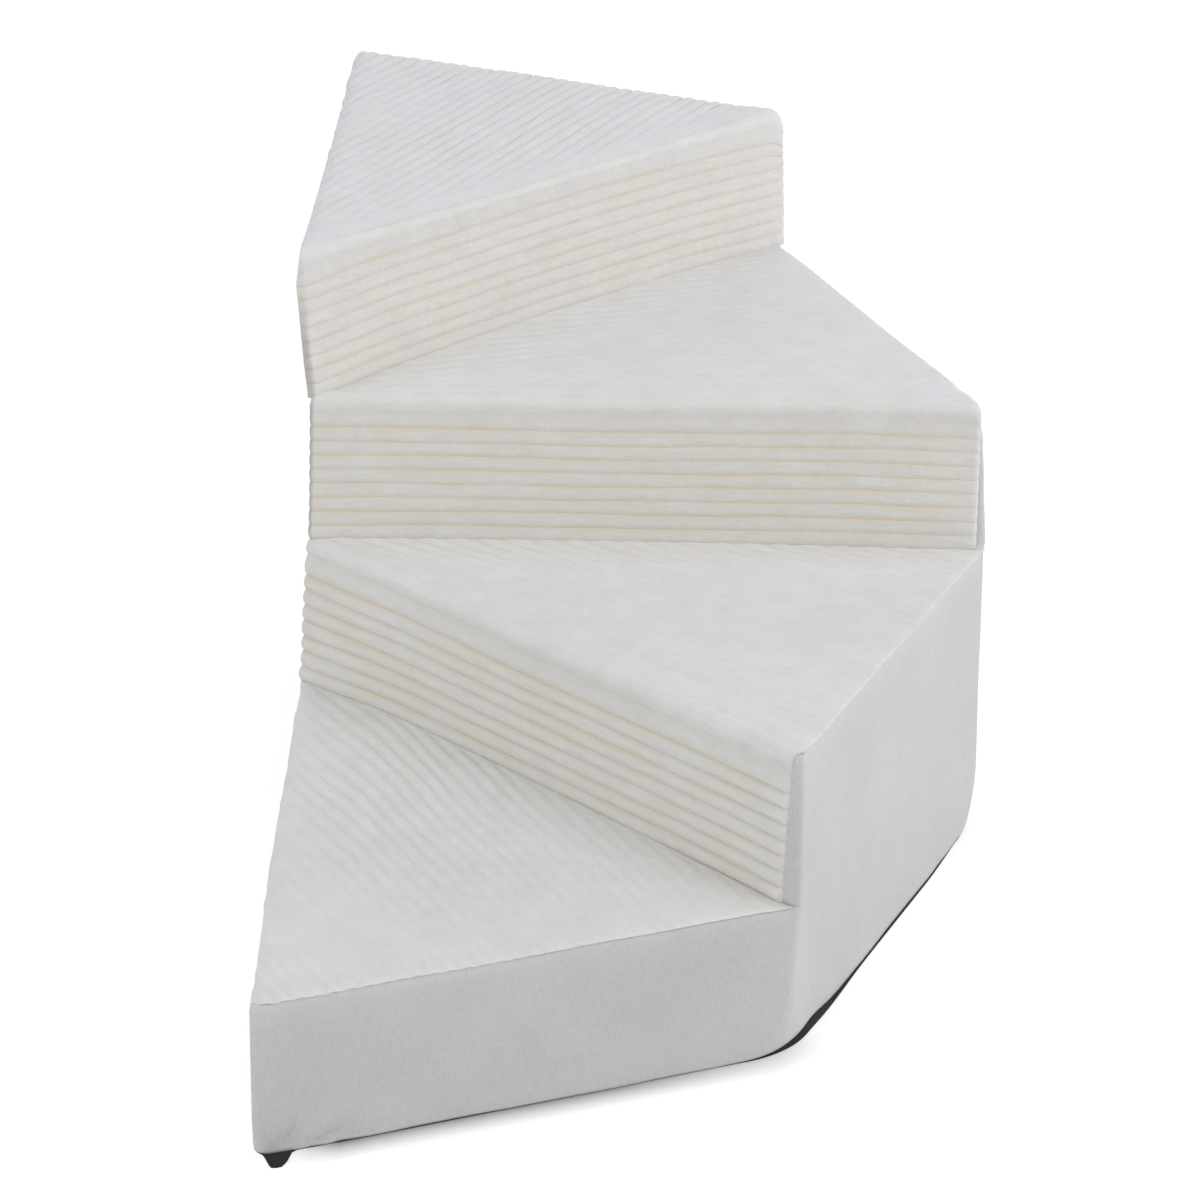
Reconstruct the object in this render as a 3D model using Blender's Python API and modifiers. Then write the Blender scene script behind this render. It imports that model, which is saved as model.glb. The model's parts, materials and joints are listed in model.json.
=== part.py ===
"""Fan-shaped pet stairs: glued foam layers inside a sewn, zipped plush cover.

The steps are equal wedges round one hub edge. The flat back faces +Y, the lowest
step is at -X and the highest at +X. Sizes are in metres, over the cover.
"""

import math

import bmesh
import bpy
from mathutils import Matrix, Vector

# Overall form
STEPS = 4
FAN_RADIUS = 0.500
STEP_RISE = 0.115
CORNER_RADIUS = 0.010

# Cover
PLUSH_BACKING = 0.0025
RISER_RIB = 0.0045
TREAD_RIB = 0.0032
RIB_PITCH = 0.0115
RIB_FACETS = 6
EDGE_ROLL = 0.0045
SIDE_THICKNESS = 0.002
BACK_THICKNESS = 0.002
BASE_THICKNESS = 0.002
GAP = 0.0003

# Zip along the foot of the back
ZIP_END_MARGIN = 0.068
TAPE_WIDTH = 0.014
TAPE_THICKNESS = 0.0008
COIL_WIDTH = 0.0030
COIL_THICKNESS = 0.0022
ZIP_PARTING = 0.0012
STOP_LENGTH = 0.004
STOP_EASE = 0.0004

# Slider and pull
SLIDER_LENGTH = 0.013
SLIDER_PLATE = 0.0010
SLIDER_FLANGE = 0.0010
FLANGE_STEP = 0.0001
POST_LENGTH = 0.004
CROWN_WIRE = 0.0012
CROWN_WIDTH = 0.0018
CROWN_SPAN = 0.0060
PULL_THICKNESS = 0.0012
PULL_LENGTH = 0.026
PULL_WIDTH = 0.0070
PULL_TIP_WIDTH = 0.0090

# Values that follow from the sizes above
WEDGE = math.pi / STEPS
APOTHEM = FAN_RADIUS * math.cos(WEDGE / 2)
RISER_PLUSH = PLUSH_BACKING + RISER_RIB
TREAD_PLUSH = PLUSH_BACKING + TREAD_RIB
BACK_CORNER = (math.pi - WEDGE) / 2
FLAT_END = FAN_RADIUS - CORNER_RADIUS / math.tan(BACK_CORNER / 2)
ZIP_END = FLAT_END - ZIP_END_MARGIN
ZIP_HEIGHT = BASE_THICKNESS + GAP + TAPE_WIDTH + ZIP_PARTING / 2
TAPE_FACE = GAP + SLIDER_PLATE + GAP
COIL_FACE = TAPE_FACE + TAPE_THICKNESS + GAP
COIL_CREST = COIL_FACE + COIL_THICKNESS
PLATE_FACE = COIL_CREST + GAP
PLATE_TOP = PLATE_FACE + SLIDER_PLATE
PULL_TURN = PULL_THICKNESS * 0.75 + GAP
PULL_AXIS = PLATE_TOP + PULL_TURN
CROWN_TOP = PULL_AXIS + PULL_TURN + CROWN_WIRE
HUB_Y = (FAN_RADIUS - CROWN_TOP + BACK_THICKNESS) / 2
BACK_INSIDE = HUB_Y - BACK_THICKNESS - GAP
CHAIN_HALF = ZIP_PARTING / 2 + COIL_WIDTH
TAPE_TOP = ZIP_HEIGHT + ZIP_PARTING / 2 + TAPE_WIDTH
SLIDER_REST = -ZIP_END + STOP_LENGTH + GAP + SLIDER_LENGTH / 2

CREAM = (0.80, 0.78, 0.74)
CREAM_SHADE = (0.78, 0.75, 0.70)
GREY = (0.55, 0.54, 0.55)
BLACK = (0.02, 0.02, 0.022)
FOAM = (0.86, 0.80, 0.62)
ZIP_GREY = (0.42, 0.41, 0.42)
NICKEL = (0.62, 0.61, 0.60)

for old in list(bpy.data.objects):
    bpy.data.objects.remove(old, do_unlink=True)
parts = bpy.data.collections.new("pet_stairs")
cutters = bpy.data.collections.new("cutters")
bpy.context.scene.collection.children.link(parts)
bpy.context.scene.collection.children.link(cutters)

frame_root = bpy.data.objects.new("stairs_frame", None)
parts.objects.link(frame_root)


def material(name, colour, roughness, metallic=0.0):
    made = bpy.data.materials.new(name)
    made.use_nodes = True
    shader = made.node_tree.nodes["Principled BSDF"]
    shader.inputs["Base Color"].default_value = (*colour, 1.0)
    shader.inputs["Roughness"].default_value = roughness
    shader.inputs["Metallic"].default_value = metallic
    return made


PLUSH_TREAD = material("plush_tread", CREAM, 0.95)
PLUSH_RISER = material("plush_riser", CREAM_SHADE, 0.95)
VELVET = material("side_velvet", GREY, 0.9)
BASE_CLOTH = material("base_cloth", BLACK, 0.8)
FOAM_BLOCK = material("foam_block", FOAM, 0.9)
ZIP_TAPE = material("zip_tape", ZIP_GREY, 0.85)
ZIP_COIL = material("zip_coil", ZIP_GREY, 0.45)
ZIP_METAL = material("zip_metal", NICKEL, 0.3, 1.0)


def axes(x_axis, y_axis, z_axis):
    return Matrix((x_axis, y_axis, z_axis)).transposed().to_euler()


def extruded(name, outlines, depth, look=None, location=(0, 0, 0), rotation=(0, 0, 0)):
    """Fill the closed outlines and extrude them, half the depth each way.

    A piece with a look is a part. One without is a cutter.
    """
    curve = bpy.data.curves.new(name, "CURVE")
    curve.dimensions = "2D"
    curve.fill_mode = "BOTH"
    curve.extrude = depth / 2
    for outline in outlines:
        spline = curve.splines.new("POLY")
        spline.points.add(len(outline) - 1)
        for point, (x, y) in zip(spline.points, outline):
            point.co = (x, y, 0, 1)
        spline.use_cyclic_u = True
    return meshed(curve, name, look, location, rotation)


def meshed(curve, name, look=None, location=(0, 0, 0), rotation=(0, 0, 0)):
    """Turn a curve into a welded mesh object."""
    drawn = bpy.data.objects.new(name + "_curve", curve)
    bpy.context.scene.collection.objects.link(drawn)
    bpy.context.view_layer.update()
    graph = bpy.context.evaluated_depsgraph_get()
    mesh = bpy.data.meshes.new_from_object(drawn.evaluated_get(graph))
    bpy.data.objects.remove(drawn, do_unlink=True)
    bpy.data.curves.remove(curve)
    work = bmesh.new()
    work.from_mesh(mesh)
    bmesh.ops.remove_doubles(work, verts=work.verts, dist=1e-6)
    bmesh.ops.recalc_face_normals(work, faces=work.faces)
    work.to_mesh(mesh)
    work.free()
    mesh.name = name
    return placed(mesh, name, look, location, rotation)


def placed(mesh, name, look=None, location=(0, 0, 0), rotation=(0, 0, 0)):
    made = bpy.data.objects.new(name, mesh)
    made.location = location
    made.rotation_euler = rotation
    mesh.materials.clear()
    if look is None:
        cutters.objects.link(made)
        made.hide_render = True
        made.display_type = "WIRE"
    else:
        parts.objects.link(made)
        mesh.materials.append(look)
        made.parent = frame_root
    return made


def block(name, size, look=None, location=(0, 0, 0)):
    """A box, centred on its location."""
    mesh = bpy.data.meshes.new(name)
    work = bmesh.new()
    bmesh.ops.create_cube(work, size=1.0)
    bmesh.ops.scale(work, vec=size, verts=work.verts)
    work.to_mesh(mesh)
    work.free()
    return placed(mesh, name, look, location)


def boolean(target, other, operation):
    step = target.modifiers.new(other.name, "BOOLEAN")
    step.object = other
    step.operation = operation
    step.solver = "EXACT"
    return target


# Plan outlines are regions bounded by half planes (normal, distance) round the hub.

def ray(angle):
    return Vector((math.cos(angle), math.sin(angle)))


def step_angle(step):
    """Where a step's riser stands, round the hub. Step 1 starts at the flat back."""
    return math.pi + (step - 1) * WEDGE


def facets(inset, first=1, last=STEPS):
    return [
        (ray(step_angle(step) + WEDGE / 2), APOTHEM - inset)
        for step in range(first, last + 1)
    ]


def flat_back(inset):
    return [(Vector((0, 1)), -inset)]


def behind_riser(step, inset):
    """The side of a riser's crest plane that its own step is on. Step 1 has no riser."""
    if step == 1:
        return []
    angle = step_angle(step)
    return [(Vector((math.sin(angle), -math.cos(angle))), -inset)]


def before_riser(step, inset):
    """The lower side of the plane set back by an inset from a riser's crest plane."""
    if step > STEPS:
        return []
    return [(-normal, -distance) for normal, distance in behind_riser(step, inset)]


def corners(planes):
    """Corners of the convex region, counterclockwise, from the low end of the back."""
    found = []
    for index, (n1, d1) in enumerate(planes):
        for n2, d2 in planes[index + 1:]:
            cross = n1.x * n2.y - n1.y * n2.x
            if abs(cross) < 1e-9:
                continue
            point = Vector(((d1 * n2.y - d2 * n1.y) / cross, (d2 * n1.x - d1 * n2.x) / cross))
            if all(point.dot(n) <= d + 1e-6 for n, d in planes):
                found.append(point)
    middle = sum(found, Vector((0, 0))) / len(found)
    return sorted(
        found,
        key=lambda p: (math.atan2(p.y - middle.y, p.x - middle.x) - math.pi / 2) % math.tau,
    )


def rounded(points, radius, arc_steps=6):
    """Round the corners that stand away from the hub."""
    result = []
    for index, point in enumerate(points):
        if point.length < FAN_RADIUS / 2:
            result.append(tuple(point))
            continue
        into = (points[index - 1] - point).normalized()
        out = (points[(index + 1) % len(points)] - point).normalized()
        half = into.angle(out) / 2
        centre = point + (into + out).normalized() * radius / math.sin(half)
        start = point + into * radius / math.tan(half) - centre
        end = point + out * radius / math.tan(half) - centre
        turn = start.angle_signed(end)
        for step in range(arc_steps + 1):
            spun = Matrix.Rotation(-turn * step / arc_steps, 2) @ start
            result.append(tuple(centre + spun))
    return result


def prism(name, outline, low, high, look=None):
    return extruded(name, [outline], high - low, look, (0, HUB_Y, (low + high) / 2))


def foam_outline(step):
    wall = SIDE_THICKNESS + GAP
    planes = facets(wall, step) + flat_back(BACK_THICKNESS + GAP)
    for riser in range(2, step + 1):
        planes += behind_riser(riser, RISER_PLUSH + GAP)
    return rounded(corners(planes), CORNER_RADIUS - wall)


def tread_under(step):
    return step * STEP_RISE - TREAD_PLUSH


whole_plan = rounded(corners(facets(0) + flat_back(0)), CORNER_RADIUS)
inner_plan = rounded(
    corners(facets(SIDE_THICKNESS) + flat_back(SIDE_THICKNESS)), CORNER_RADIUS - SIDE_THICKNESS
)

# Foam core: one layer to each step, glued face to face
floor = BASE_THICKNESS + GAP
for step in range(1, STEPS + 1):
    ceiling = tread_under(step) - GAP
    prism(f"foam_layer_{step}", foam_outline(step), floor, ceiling, FOAM_BLOCK)
    floor = ceiling + GAP


def ribs(first, count, backing, rise):
    """Outline of a ribbed sheet: flat below, half-round ribs above."""
    last = first + count * RIB_PITCH
    outline = [(last, 0.0), (first, 0.0), (first, backing)]
    for rib in range(count):
        middle = first + (rib + 0.5) * RIB_PITCH
        for facet in range(1, RIB_FACETS + 1):
            angle = math.pi * facet / RIB_FACETS
            across = middle - math.cos(angle) * RIB_PITCH / 2
            outline.append((across, backing + rise * math.sin(angle)))
    return outline


def tread_panel(step):
    angle = step_angle(step) + WEDGE / 2
    chord = 2 * FAN_RADIUS * math.sin(WEDGE / 2)
    count = math.ceil(chord / RIB_PITCH) + 2
    along = Vector((*ray(angle), 0))
    up = Vector((0, 0, 1))
    centre = along * FAN_RADIUS / 2
    panel = extruded(
        f"tread_panel_{step}",
        [ribs(-count * RIB_PITCH / 2, count, PLUSH_BACKING, TREAD_RIB)],
        FAN_RADIUS * 1.2,
        PLUSH_TREAD,
        (centre.x, HUB_Y + centre.y, tread_under(step)),
        axes(up.cross(along), up, along),
    )
    low, high = tread_under(step) - GAP, step * STEP_RISE + GAP
    planes = facets(-GAP, step, step) + flat_back(-GAP)
    planes += behind_riser(step, RISER_PLUSH + GAP) + before_riser(step + 1, RISER_PLUSH)
    outline = [tuple(point) for point in corners(planes)]
    boolean(panel, prism(f"tread_{step}_outline", outline, low, high), "INTERSECT")
    rolled = prism(f"tread_{step}_roll", whole_plan, low - EDGE_ROLL, step * STEP_RISE)
    bevel = rolled.modifiers.new("edge_roll", "BEVEL")
    bevel.width = EDGE_ROLL
    bevel.segments = 3
    bevel.limit_method = "ANGLE"
    bevel.angle_limit = math.radians(60)
    boolean(panel, rolled, "INTERSECT")


def riser_panel(step):
    angle = step_angle(step)
    along = Vector((*ray(angle), 0))
    out = Vector((math.sin(angle), -math.cos(angle), 0))
    count = math.ceil(STEP_RISE / RIB_PITCH)
    low, high = (step - 1) * STEP_RISE + GAP, step * STEP_RISE
    centre = along * FAN_RADIUS / 2 - out * RISER_PLUSH
    panel = extruded(
        f"riser_panel_{step}",
        [ribs(-count * RIB_PITCH, count, PLUSH_BACKING, RISER_RIB)],
        FAN_RADIUS * 1.2,
        PLUSH_RISER,
        (centre.x, HUB_Y + centre.y, high),
        axes(out.cross(along), out, along),
    )
    boolean(panel, prism(f"riser_{step}_outline", whole_plan, low, high + GAP), "INTERSECT")


for step in range(1, STEPS + 1):
    tread_panel(step)
    if step > 1:
        riser_panel(step)

# Outer wall: one strip round the outer sides, cut down in steps
side_panel = prism(
    "side_panel",
    whole_plan + inner_plan[::-1],
    BASE_THICKNESS + GAP,
    tread_under(STEPS) - GAP,
    VELVET,
)
for step in range(1, STEPS):
    planes = facets(-GAP, 1, step) + flat_back(-GAP)
    planes += before_riser(step + 1, RISER_PLUSH + GAP)
    outline = [tuple(point) for point in corners(planes)]
    cut = prism(f"side_cut_{step}", outline, tread_under(step) - GAP, tread_under(step + 1))
    boolean(side_panel, cut, "DIFFERENCE")

# Flat back, stepped at the hub and notched for the zip
end = FLAT_END - GAP
notch = ZIP_END + GAP
hub_edge = max(
    (depth * math.cos(angle) - RISER_PLUSH - GAP) / math.sin(angle)
    for angle in (step_angle(step) for step in range(2, STEPS + 1))
    for depth in (0, -BACK_THICKNESS)
)
low_top, high_top = tread_under(1) - GAP, tread_under(STEPS) - GAP
back_foot = BASE_THICKNESS + GAP
back_outline = [
    (-end, back_foot), (-notch, back_foot), (-notch, TAPE_TOP + GAP),
    (notch, TAPE_TOP + GAP), (notch, back_foot), (end, back_foot),
    (end, high_top), (hub_edge, high_top), (hub_edge, low_top), (-end, low_top),
]
upright = (math.pi / 2, 0, 0)
extruded(
    "back_panel", [back_outline], BACK_THICKNESS, VELVET,
    (0, HUB_Y - BACK_THICKNESS / 2, 0), upright,
)

base_panel = prism("base_panel", whole_plan, 0, BASE_THICKNESS, BASE_CLOTH)

# Zip: two tapes, a coil on each, and the stops
for side, name in ((1, "upper"), (-1, "lower")):
    block(
        f"zip_tape_{name}",
        (2 * ZIP_END, TAPE_THICKNESS, TAPE_WIDTH),
        ZIP_TAPE,
        (
            0,
            BACK_INSIDE + TAPE_FACE + TAPE_THICKNESS / 2,
            ZIP_HEIGHT + side * (ZIP_PARTING + TAPE_WIDTH) / 2,
        ),
    )
    run = 2 * (ZIP_END - STOP_LENGTH - GAP)
    bow = [
        (COIL_WIDTH / 2 * math.cos(turn), COIL_THICKNESS * math.sin(turn))
        for turn in (math.pi * bit / 6 for bit in range(7))
    ]
    extruded(
        f"zip_coil_{name}",
        [bow],
        run,
        ZIP_COIL,
        (0, BACK_INSIDE + COIL_FACE, ZIP_HEIGHT + side * (ZIP_PARTING + COIL_WIDTH) / 2),
        axes(Vector((0, 0, -1)), Vector((0, 1, 0)), Vector((1, 0, 0))),
    )


def strip(x_low, x_high, z_low, z_high):
    return [(x_low, z_low), (x_high, z_low), (x_high, z_high), (x_low, z_high)]


def stop(name, x, low, high):
    """A pressed metal stop in line with one coil or both."""
    outline = strip(-STOP_LENGTH / 2, STOP_LENGTH / 2, low, high)
    middle = BACK_INSIDE + COIL_FACE + COIL_THICKNESS / 2
    pressed = extruded(name, [outline], COIL_THICKNESS, ZIP_METAL, (x, middle, 0), upright)
    bevel = pressed.modifiers.new("eased", "BEVEL")
    bevel.width = STOP_EASE
    bevel.segments = 2


closed_end = -ZIP_END + STOP_LENGTH / 2
stop("zip_top_stop_upper", closed_end, ZIP_HEIGHT + ZIP_PARTING / 2, ZIP_HEIGHT + CHAIN_HALF)
stop("zip_top_stop_lower", closed_end, ZIP_HEIGHT - CHAIN_HALF, ZIP_HEIGHT - ZIP_PARTING / 2)
stop("zip_end_stop", -closed_end, ZIP_HEIGHT - CHAIN_HALF, ZIP_HEIGHT + CHAIN_HALF)

# Slider: two plates joined by a thin post that runs between the coils
plate_half = CHAIN_HALF + GAP + SLIDER_FLANGE
rear, front = SLIDER_LENGTH / 2, -SLIDER_LENGTH / 2
nose = plate_half * 0.45
plate_outline = [
    (front, -nose), (front + nose * 0.8, -plate_half), (rear - nose * 0.3, -plate_half),
    (rear, -plate_half + nose * 0.3), (rear, plate_half - nose * 0.3),
    (rear - nose * 0.3, plate_half), (front + nose * 0.8, plate_half), (front, nose),
]


def slider_piece(name, outline, low, high, look=None):
    """A piece of the slider between two distances out from the inside of the back."""
    return extruded(
        name, [outline], high - low, look,
        (SLIDER_REST, BACK_INSIDE + (low + high) / 2, ZIP_HEIGHT), upright,
    )


slider = slider_piece("zip_slider", plate_outline, PLATE_FACE, PLATE_TOP, ZIP_METAL)
inner_plate = slider_piece("slider_inner", plate_outline, GAP, GAP + SLIDER_PLATE)
post_half = ZIP_PARTING / 2 - GAP
post = slider_piece(
    "slider_post",
    strip(front + 0.001, front + 0.001 + POST_LENGTH, -post_half, post_half),
    GAP + SLIDER_PLATE / 2,
    PLATE_FACE + SLIDER_PLATE / 2,
)
boolean(slider, post, "UNION")
boolean(slider, inner_plate, "UNION")
for side, name in ((1, "upper"), (-1, "lower")):
    edge = sorted((side * (plate_half - FLANGE_STEP), side * (plate_half - SLIDER_FLANGE)))
    flange = slider_piece(
        f"slider_flange_{name}",
        strip(front + nose, rear - nose * 0.4, *edge),
        TAPE_FACE + TAPE_THICKNESS + GAP,
        PLATE_FACE + SLIDER_PLATE / 2,
    )
    boolean(slider, flange, "UNION")

# Crown: a low bridge along the slider that holds the pull
bridge_low, bridge_high = PLATE_TOP - SLIDER_PLATE / 2, CROWN_TOP
under = CROWN_TOP - CROWN_WIRE
half_span = CROWN_SPAN / 2
slope = CROWN_WIRE * 0.7
bridge = [
    (-half_span, bridge_low), (-half_span + CROWN_WIRE, bridge_low),
    (-half_span + CROWN_WIRE, under - slope / 2), (-half_span + CROWN_WIRE + slope / 2, under),
    (half_span - CROWN_WIRE - slope / 2, under), (half_span - CROWN_WIRE, under - slope / 2),
    (half_span - CROWN_WIRE, bridge_low), (half_span, bridge_low),
    (half_span, bridge_high - slope), (half_span - slope, bridge_high),
    (-half_span + slope, bridge_high), (-half_span, bridge_high - slope),
]
crown = extruded(
    "slider_crown", [bridge], CROWN_WIDTH, None, (SLIDER_REST, BACK_INSIDE, ZIP_HEIGHT)
)
boolean(slider, crown, "UNION")

# Pull: its end bar lies under the crown, and it turns about that bar
reach = math.hypot(half_span, CROWN_TOP - PULL_AXIS) + GAP
eye_half = CROWN_WIDTH / 2 + GAP
bar_half = PULL_THICKNESS / 2
pull_outline = [
    (-bar_half, -PULL_WIDTH / 2 + bar_half), (0, -PULL_WIDTH / 2), (reach, -PULL_WIDTH / 2),
    (reach + PULL_WIDTH, -PULL_WIDTH * 0.32), (PULL_LENGTH - PULL_TIP_WIDTH, -PULL_WIDTH * 0.34),
]
tip_centre = PULL_LENGTH - PULL_TIP_WIDTH / 2
pull_outline += [
    (tip_centre + PULL_TIP_WIDTH / 2 * math.cos(turn), PULL_TIP_WIDTH / 2 * math.sin(turn))
    for turn in (math.radians(-105 + 21 * bit) for bit in range(11))
]
pull_outline += [(x, -y) for x, y in reversed(pull_outline[:5])]
pull_eye = strip(bar_half, reach, -eye_half, eye_half)[::-1]
pull = extruded(
    "zip_pull",
    [pull_outline, pull_eye],
    PULL_THICKNESS,
    ZIP_METAL,
    (SLIDER_REST, BACK_INSIDE + PULL_AXIS, ZIP_HEIGHT),
    upright,
)

travel = -closed_end - STOP_LENGTH / 2 - GAP - SLIDER_LENGTH / 2 - SLIDER_REST
print(f"slider rests at {SLIDER_REST:.5f}, travels {travel:.5f}; pull axis y "
      f"{BACK_INSIDE + PULL_AXIS:.5f}; back face y {HUB_Y:.5f}")
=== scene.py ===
"""Fan-shaped foam pet stairs: the visual model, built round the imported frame.

Lengths are in metres and angles in degrees. A pair named as a span is the low and the
high end of a smooth change.
"""

import json
import math

import bmesh
import bpy
import numpy as np
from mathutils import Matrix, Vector

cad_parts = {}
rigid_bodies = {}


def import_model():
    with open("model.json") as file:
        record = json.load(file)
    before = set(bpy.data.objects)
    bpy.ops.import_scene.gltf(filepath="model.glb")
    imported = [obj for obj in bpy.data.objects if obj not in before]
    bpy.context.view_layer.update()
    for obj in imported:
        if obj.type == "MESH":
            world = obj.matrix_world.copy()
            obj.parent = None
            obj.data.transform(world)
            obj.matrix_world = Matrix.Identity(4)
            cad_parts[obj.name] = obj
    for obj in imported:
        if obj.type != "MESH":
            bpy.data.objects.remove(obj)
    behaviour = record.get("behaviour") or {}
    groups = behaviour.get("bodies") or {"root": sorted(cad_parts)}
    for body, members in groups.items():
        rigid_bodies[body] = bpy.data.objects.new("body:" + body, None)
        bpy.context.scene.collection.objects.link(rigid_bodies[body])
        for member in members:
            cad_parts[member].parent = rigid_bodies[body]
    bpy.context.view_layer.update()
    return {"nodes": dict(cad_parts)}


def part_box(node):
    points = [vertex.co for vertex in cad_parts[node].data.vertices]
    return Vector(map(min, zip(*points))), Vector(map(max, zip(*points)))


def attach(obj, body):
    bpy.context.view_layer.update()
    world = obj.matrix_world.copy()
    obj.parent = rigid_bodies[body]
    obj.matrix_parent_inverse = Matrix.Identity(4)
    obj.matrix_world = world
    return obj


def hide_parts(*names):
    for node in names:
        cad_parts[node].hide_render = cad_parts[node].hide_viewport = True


for leftover in list(bpy.data.objects):
    bpy.data.objects.remove(leftover)
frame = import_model()

# The plan: the hub is the upright edge that the wedges turn round.
HUB_Y = 0.2461
STEPS = 4
FAN_RADIUS = 0.500
RISE = 0.115
WEDGE = 45.0
APOTHEM = FAN_RADIUS * math.cos(math.radians(WEDGE / 2))
TREAD_DROP = 0.0066
PITCH = 0.0115
# The flat back as a plan edge, which is an inward normal and an offset.
BACK = (np.array([0.0, -1.0]), 0.0)
BACK_OUT = np.array([0.0, 1.0])

# How the stuffed cover departs from the plain plan: the treads puff up, the facets lean
# out and turn a little above the base, and the flat back swells near the hub.
PUFF = {1: 0.0030, 2: 0.0034, 3: 0.0038, 4: 0.0030}
LEAN_Z = np.array([0.0, 0.06, 0.13, 0.23, 0.345, 0.46])
LEAN = {
    1: [0.0024, 0.0012, 0.0011, 0.0, 0.0, 0.0],
    2: [0.0036, 0.0042, 0.0062, 0.0062, 0.0062, 0.0062],
    3: [0.0060, 0.0070, 0.0066, 0.0052, -0.0010, -0.0010],
    4: [0.0030, 0.0030, 0.0040, 0.0060, 0.0080, 0.0043],
}
TURN = {1: 0.0, 2: 0.65, 3: -0.15, 4: -2.4}
TURN_SPAN = (0.02, 0.13)
SWELL_X = np.array([-0.5, -0.45, -0.41, -0.32, -0.225, -0.135, 0.0])
SWELL_ALONG = np.array([0.0014, 0.0021, 0.0032, 0.0068, 0.0097, 0.0104, 0.0106])
# The swell at the hub, at one height after another.
SWELL_Z, SWELL_UP = np.array(
    [
        (0.0, 0.0),
        (0.045, 0.0),
        (0.07, 0.004),
        (0.115, 0.0106),
        (0.165, 0.009),
        (0.20, 0.0066),
        (0.23, 0.0045),
        (0.26, 0.0018),
        (0.29, 0.0),
        (0.32, -0.002),
        (0.345, -0.0032),
        (0.37, -0.0008),
        (0.40, 0.0012),
        (0.43, 0.003),
        (0.46, 0.0055),
    ]
).T
SWELL_EASE = 0.008
SWELL_FADE = 0.12
SWELL_TOP, SWELL_TOP_SPAN = 0.0034, (0.35, 0.46)
SWELL_DEPTH = 0.07
HEEL, HEEL_Z_SPAN, HEEL_X_SPAN = 0.0024, (0.02, 0.11), (-0.48, -0.43)
HUB_STEP, HUB_STEP_HALF = 0.0024, 0.016
HUB_STEP_SPAN, HUB_STEP_FADE = (-0.16, -0.04), 0.05
TIP, TIP_X_SPAN, TIP_Z_SPAN = 0.0030, (0.40, 0.48), (0.40, 0.45)
# Sagging top edges: height, distance out from the back, inward sign, radius, first x.
SAGS = (
    (0.345, -0.5010, 1, 0.012, -0.10),
    (0.460, -0.3574, 1, 0.020, 0.20),
    (0.460, 0.0064, -1, 0.012, 0.42),
)
SAG_LOW, SAG_HIGH, SAG_OVER, SAG_RUN = 0.060, 0.006, 0.03, 0.06
EDGE_DROP = 0.0032
BACK_DROP = 0.0072

LATTICE = 128
GRIDS = {}


def noise(x, y, seed):
    """Smooth value noise from -1 to 1 on a wrapped lattice."""
    if seed not in GRIDS:
        GRIDS[seed] = np.random.default_rng(seed).uniform(-1, 1, (LATTICE, LATTICE))
    grid = GRIDS[seed]
    x, y = np.broadcast_arrays(np.asarray(x, float), np.asarray(y, float))
    x0, y0 = np.floor(x).astype(int), np.floor(y).astype(int)
    fx, fy = x - x0, y - y0
    fx, fy = fx * fx * (3 - 2 * fx), fy * fy * (3 - 2 * fy)
    x0, y0 = x0 % LATTICE, y0 % LATTICE
    x1, y1 = (x0 + 1) % LATTICE, (y0 + 1) % LATTICE
    low = grid[x0, y0] * (1 - fx) + grid[x1, y0] * fx
    high = grid[x0, y1] * (1 - fx) + grid[x1, y1] * fx
    return low * (1 - fy) + high * fy


def fbm(x, y, seed, octaves=3):
    """Noise with finer, weaker octaves added."""
    total, weight, whole = 0.0, 1.0, 0.0
    for octave in range(octaves):
        total = total + weight * noise(x * 2**octave, y * 2**octave, seed + octave)
        whole += weight
        weight *= 0.5
    return total / whole


def ripple(u, v, height, spread, seed, octaves=3):
    """Seeded waves of a height, with one spread or a spread each way."""
    across, along = spread if isinstance(spread, tuple) else (spread, spread)
    return height * fbm(u / across, v / along, seed, octaves)


def ripples(u, v, waves, step=0):
    """Several waves together: height, spread, first seed and octaves of each."""
    return sum(ripple(u, v, high, wide, seed + step, times) for high, wide, seed, times in waves)


def smooth(low, high, x):
    """A smooth change from 0 at low to 1 at high."""
    t = np.clip((np.asarray(x, float) - low) / (high - low), 0, 1)
    return t * t * (3 - 2 * t)


def fade(low, high, x):
    """A smooth change from 1 at low to 0 at high."""
    return 1 - smooth(low, high, x)


def bell(x, centre, width, power=2):
    return np.exp(-(((x - centre) / width) ** power))


def decay(x, reach):
    """1 up to zero, then falling away over a reach."""
    return np.exp(-np.maximum(x, 0) / reach)


def roll(distance, reach, fall):
    """How far a rounded edge has fallen at a distance in from it: a quarter ellipse."""
    t = np.clip(1 - distance / reach, 0, 1)
    return fall * (1 - np.sqrt(np.maximum(1 - t * t, 0)))


def eased(x, xs, ys, reach=0.03):
    """Smooth interpolation through a few points."""
    fine = np.interp(x, xs, ys)
    wide = sum(np.interp(x + d * reach, xs, ys) for d in (-1, -0.5, 0.5, 1)) / 4
    return 0.4 * fine + 0.6 * wide


def spaced(low, high, reaches, cuts):
    """Points from low to high, closer together at both ends, one row for each cut."""
    near, between, far = cuts
    reach_in, reach_out = reaches
    ease_in, ease_out = (1 - np.cos(np.linspace(0, math.pi / 2, n))[:, None] for n in (near, far))
    t = np.linspace(0, 1, between + 2)[1:-1, None]
    middle = low + reach_in + (high - low - reach_in - reach_out) * t
    return np.concatenate([low + reach_in * ease_in, middle, high - reach_out * ease_out[::-1]])


def joined(*parts):
    """Sorted values from several runs, each once."""
    return np.unique(np.concatenate(parts).round(7))


def ray(angle):
    a = math.radians(angle)
    return np.array([math.cos(a), math.sin(a)])


def facing(angle):
    """The way a riser at this angle round the hub faces, in plan."""
    a = math.radians(angle)
    return np.array([math.sin(a), -math.cos(a)])


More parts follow.
